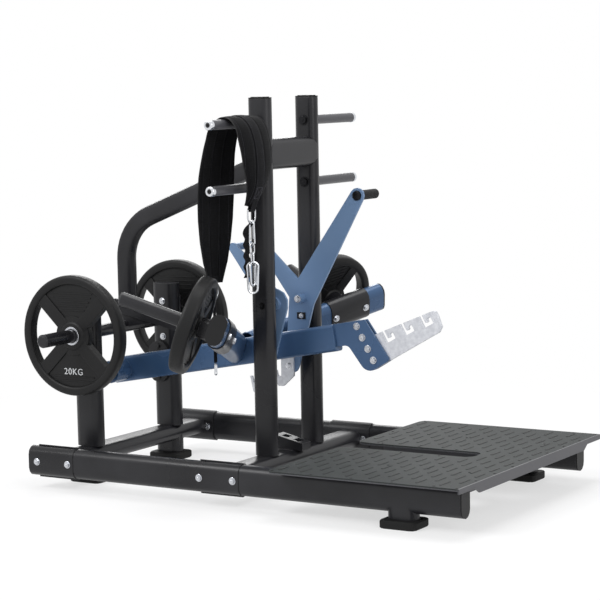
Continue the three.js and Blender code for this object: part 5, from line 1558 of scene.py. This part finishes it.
@dataclass(frozen=True)
class Hardware:
    """The belt's plated rings, links and snap hooks."""

    ring_wire: float = 3.0
    ring_half: float = 24.0
    ring_straight: float = 22.0
    link_wire: float = 2.6
    link_length: float = 44.0
    link_width: float = 24.0
    gate_wire: float = 2.0
    gate_inset: float = 9.0
    gate_flare: float = 1.05
    gate_shares: tuple[float, ...] = (0.2, 0.72)
    link_top: float = 922.0
    link_pitch: float = 34.1
    link_twists: tuple[float, ...] = (75.0, 150.0)
    snaps: Rows = (
        (1001.3, 92.0, 28.0, 3.4, 0.0, 0.8), (857.4, 118.0, 40.0, 4.0, 40.0, 1.25),
        (857.4, 92.0, 40.0, 4.0, 95.0, 1.25),
    )
    rear_snap: tuple[float, ...] = (483.0, 46.0, 18.0, 2.4, 90.0, 0.75)
    rear_gate_width: float = 22.0

    def oval(
        self, top: Vector, length: float, width: float, wire_radius: float, twist: float, taper: float = 1.0,
    ) -> Mesh:
        """Makes a link, or a hook's frame.

        Args:
            top: The highest point of the link's outside, in metres.
            length: The link's outer length in millimetres.
            width: Its outer width.
            wire_radius: Its wire's radius.
            twist: The turn of its plane about +Z, in degrees from the machine's length.
            taper: How wide its upper end is against its lower end.

        Returns:
            The mesh.
        """
        radius = width / 2 - wire_radius
        across = Matrix.Rotation(math.radians(twist), 3, "Z") @ X_AXIS
        line = []
        for centre, first, share in ((width / 2, 0.0, taper), (length - width / 2, math.pi, 1.0)):
            for i in range(13):
                angle = first + math.pi * i / 12
                line.append(
                    top + across * (math.cos(angle) * radius * share * MM)
                    + Z_AXIS * ((-centre + math.sin(angle) * radius) * MM)
                )
        return wire(line, wire_radius)

    def ring(self, bar: Triple) -> Mesh:
        """Makes a D ring that hangs from its straight bar.

        Args:
            bar: The middle of the ring's straight bar, in millimetres.

        Returns:
            The mesh.
        """
        middle = mm(*bar)
        line = [middle + mm(0, self.ring_half, 0), middle - mm(0, self.ring_half, 0)]
        low = middle - mm(0, 0, self.ring_straight)
        for i in range(25):
            angle = math.pi + math.pi * i / 24
            line.append(low + Vector((0, math.cos(angle), math.sin(angle))) * (self.ring_half * MM))
        return wire(line, self.ring_wire)

    def gate(self, top: Vector, length: float, width: float, twist: float) -> Mesh:
        """Makes a snap hook's thin spring gate.

        Args:
            top: The highest point of the hook's outside, in metres.
            length: The hook's length, in millimetres.
            width: The hook's width, in millimetres.
            twist: The turn of the hook's plane about +Z, in degrees.

        Returns:
            The mesh.
        """
        across = Matrix.Rotation(math.radians(twist), 3, "Z") @ X_AXIS
        side = across * ((width / 2 - self.gate_inset) * MM)
        start = top + side - Z_AXIS * (length * self.gate_shares[0] * MM)
        end = top + side * self.gate_flare - Z_AXIS * (length * self.gate_shares[1] * MM)
        return wire([start, start.lerp(end, 0.5), end], self.gate_wire, closed=False)

    def front(self) -> None:
        """Builds the front ring, its snap, its links and the large snap below."""
        ring = Piece("belt_front_ring", Skin.CHROME, "front_ring", "bright_plating")
        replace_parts(ring.place(self.ring(FRONT_BAR)), "belt_ring_front")
        x, y, _ = FRONT_BAR
        mesh = bmesh.new()
        hooks = []
        for height, length, width, thick, twist, taper in self.snaps:
            top = mm(x, y, height)
            hook = self.oval(top, length, width, thick, twist, taper)
            hooks.append((hook, self.gate(top, length, width, twist)))
        links = []
        for i, twist in enumerate(self.link_twists):
            top = mm(x, y, self.link_top - self.link_pitch * i)
            links.append(self.oval(top, self.link_length, self.link_width, self.link_wire, twist))
        for part in (*hooks[0], *links, *hooks[1], *hooks[2]):
            merged(mesh, part)
        chain = Piece("belt_front_chain", Skin.CHROME, "front_chain", "bright_plating").place(mesh)
        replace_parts(chain, "belt_chain_front")

    def back(self) -> None:
        """Builds the rear ring with the small snap below its strap."""
        mesh = self.ring(REAR_BAR)
        x, y, _ = REAR_BAR
        height, length, width, thick, twist, taper = self.rear_snap
        top = mm(x, y, height)
        merged(mesh, self.oval(top, length, width, thick, twist, taper))
        merged(mesh, self.gate(top, length, self.rear_gate_width, twist))
        drop = Piece("belt_rear_ring", Skin.CHROME, "rear_drop", "bright_plating").place(mesh)
        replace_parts(drop, "belt_drop_rear")

    def build(self) -> None:
        """Builds both sets of hardware."""
        self.front()
        self.back()


@dataclass(frozen=True)
class Studio:
    """A pale floor, soft lamps and the photograph's camera."""

    azimuth: float = math.radians(31.73)
    elevation: float = math.radians(7.41)
    roll: float = math.radians(-1.16)
    place: tuple[float, ...] = (3974.4, -6513.4, 1504.0)
    focal_px: float = 2098.71
    image_px: float = 600.0
    centre_px: tuple[float, ...] = (281.05, 347.60)
    sensor_mm: float = 36.0
    fade: tuple[float, ...] = (1.1, 2.6)
    glow_shares: tuple[float, ...] = (0.62, 1.0)
    surround: tuple[float, ...] = (0.5, 1.0)
    floor_half: float = 40.0
    lamp_aim: float = 0.6
    lamps: tuple[tuple, ...] = (
        ("key", (-2.6, -4.2, 4.6), 2.6, 190.0), ("fill", (5.2, -2.6, 2.8), 3.0, 90.0),
        ("top", (0.2, 0.6, 4.6), 2.4, 90.0), ("back", (-3.5, 4.6, 3.2), 2.6, 80.0),
    )

    def camera(self) -> None:
        """Puts the camera where the photograph was taken from."""
        az, el, ro = self.azimuth, self.elevation, self.roll
        ahead = Vector((-math.sin(az) * math.cos(el), math.cos(az) * math.cos(el), -math.sin(el)))
        level = Vector((math.cos(az), math.sin(az), 0.0))
        up = level.cross(ahead)
        right = level * math.cos(ro) + up * math.sin(ro)
        top = -level * math.sin(ro) + up * math.cos(ro)
        data = bpy.data.cameras.new("camera")
        data.sensor_width = self.sensor_mm
        data.lens = self.focal_px / self.image_px * self.sensor_mm
        data.shift_x = (self.image_px / 2 - self.centre_px[0]) / self.image_px
        data.shift_y = (self.centre_px[1] - self.image_px / 2) / self.image_px
        data.clip_end = 100.0
        made = bpy.data.objects.new("camera", data)
        made.matrix_world = basis(right, top, -ahead, mm(*self.place))
        bpy.context.scene.collection.objects.link(made)
        bpy.context.scene.camera = made

    def lamp(self, name: str, place: Sequence[float], size: float, power: float) -> None:
        """Adds a square soft lamp that faces the machine.

        Args:
            name: The lamp's name.
            place: Where it stands, in metres.
            size: Its side in metres.
            power: Its power in watts.
        """
        data = bpy.data.lights.new(name, "AREA")
        data.size = size
        data.energy = power
        made = bpy.data.objects.new(name, data)
        spot = Vector(place)
        made.matrix_world = facing(spot - Z_AXIS * self.lamp_aim, spot)
        bpy.context.scene.collection.objects.link(made)

    def world(self) -> None:
        """Gives an even white surround, seen whole by the camera and by gloss."""
        world = bpy.data.worlds.new("studio")
        bpy.context.scene.world = world
        graph = Graph(world)
        strength = graph.spread(graph.seen_whole(), (0.0, 1.0), self.surround)
        sockets = {"Color": (1, 1, 1, 1), "Strength": strength}
        back = graph.add("ShaderNodeBackground", sockets)
        graph.add("ShaderNodeOutputWorld", {0: back.outputs[0]})

    def floor(self) -> None:
        """Lays the pale floor, which fades to white away from the machine's shadow."""
        mesh = bmesh.new()
        bmesh.ops.create_grid(mesh, x_segments=1, y_segments=1, size=self.floor_half)
        data = bpy.data.meshes.new("floor")
        mesh.to_mesh(data)
        mesh.free()
        made = bpy.data.objects.new("floor", data)
        bpy.context.scene.collection.objects.link(made)
        graph = Graph(bpy.data.materials.new("pale_floor"))
        seen = graph.seen_whole()
        matte = graph.add("ShaderNodeBsdfDiffuse", {"Color": linear("#f7f7f8")})
        glow = graph.add("ShaderNodeEmission", {"Color": linear("#ffffff"), "Strength": 1.0})
        place = graph.add("ShaderNodeTexCoord").outputs["Object"]
        away = graph.add("ShaderNodeVectorMath", {0: place}, operation="LENGTH").outputs["Value"]
        share = graph.math("MULTIPLY", seen, graph.spread(away, self.fade, self.glow_shares))
        both = graph.add("ShaderNodeMixShader", {0: share, 1: matte.outputs[0], 2: glow.outputs[0]})
        graph.add("ShaderNodeOutputMaterial", {"Surface": both.outputs[0]})
        data.materials.append(graph.owner)

    def build(self) -> None:
        """Builds the whole studio."""
        bpy.context.scene.view_settings.view_transform = "Standard"
        self.camera()
        self.world()
        for lamp in self.lamps:
            self.lamp(*lamp)
        self.floor()


def main() -> None:
    """Builds the studio and then each sub-assembly, and reports each one."""
    logging.basicConfig(level=logging.INFO, format="%(message)s")
    steps = [Studio(), Frame(), Platform(), Lever(), Catch(), *weight_plates()]
    steps += [HipBelt(), Hardware(), Fasteners()]
    for step in steps:
        step.build()
        LOG.info("built %s", getattr(step, "node", type(step).__name__))


if __name__ == "__main__":
    main()
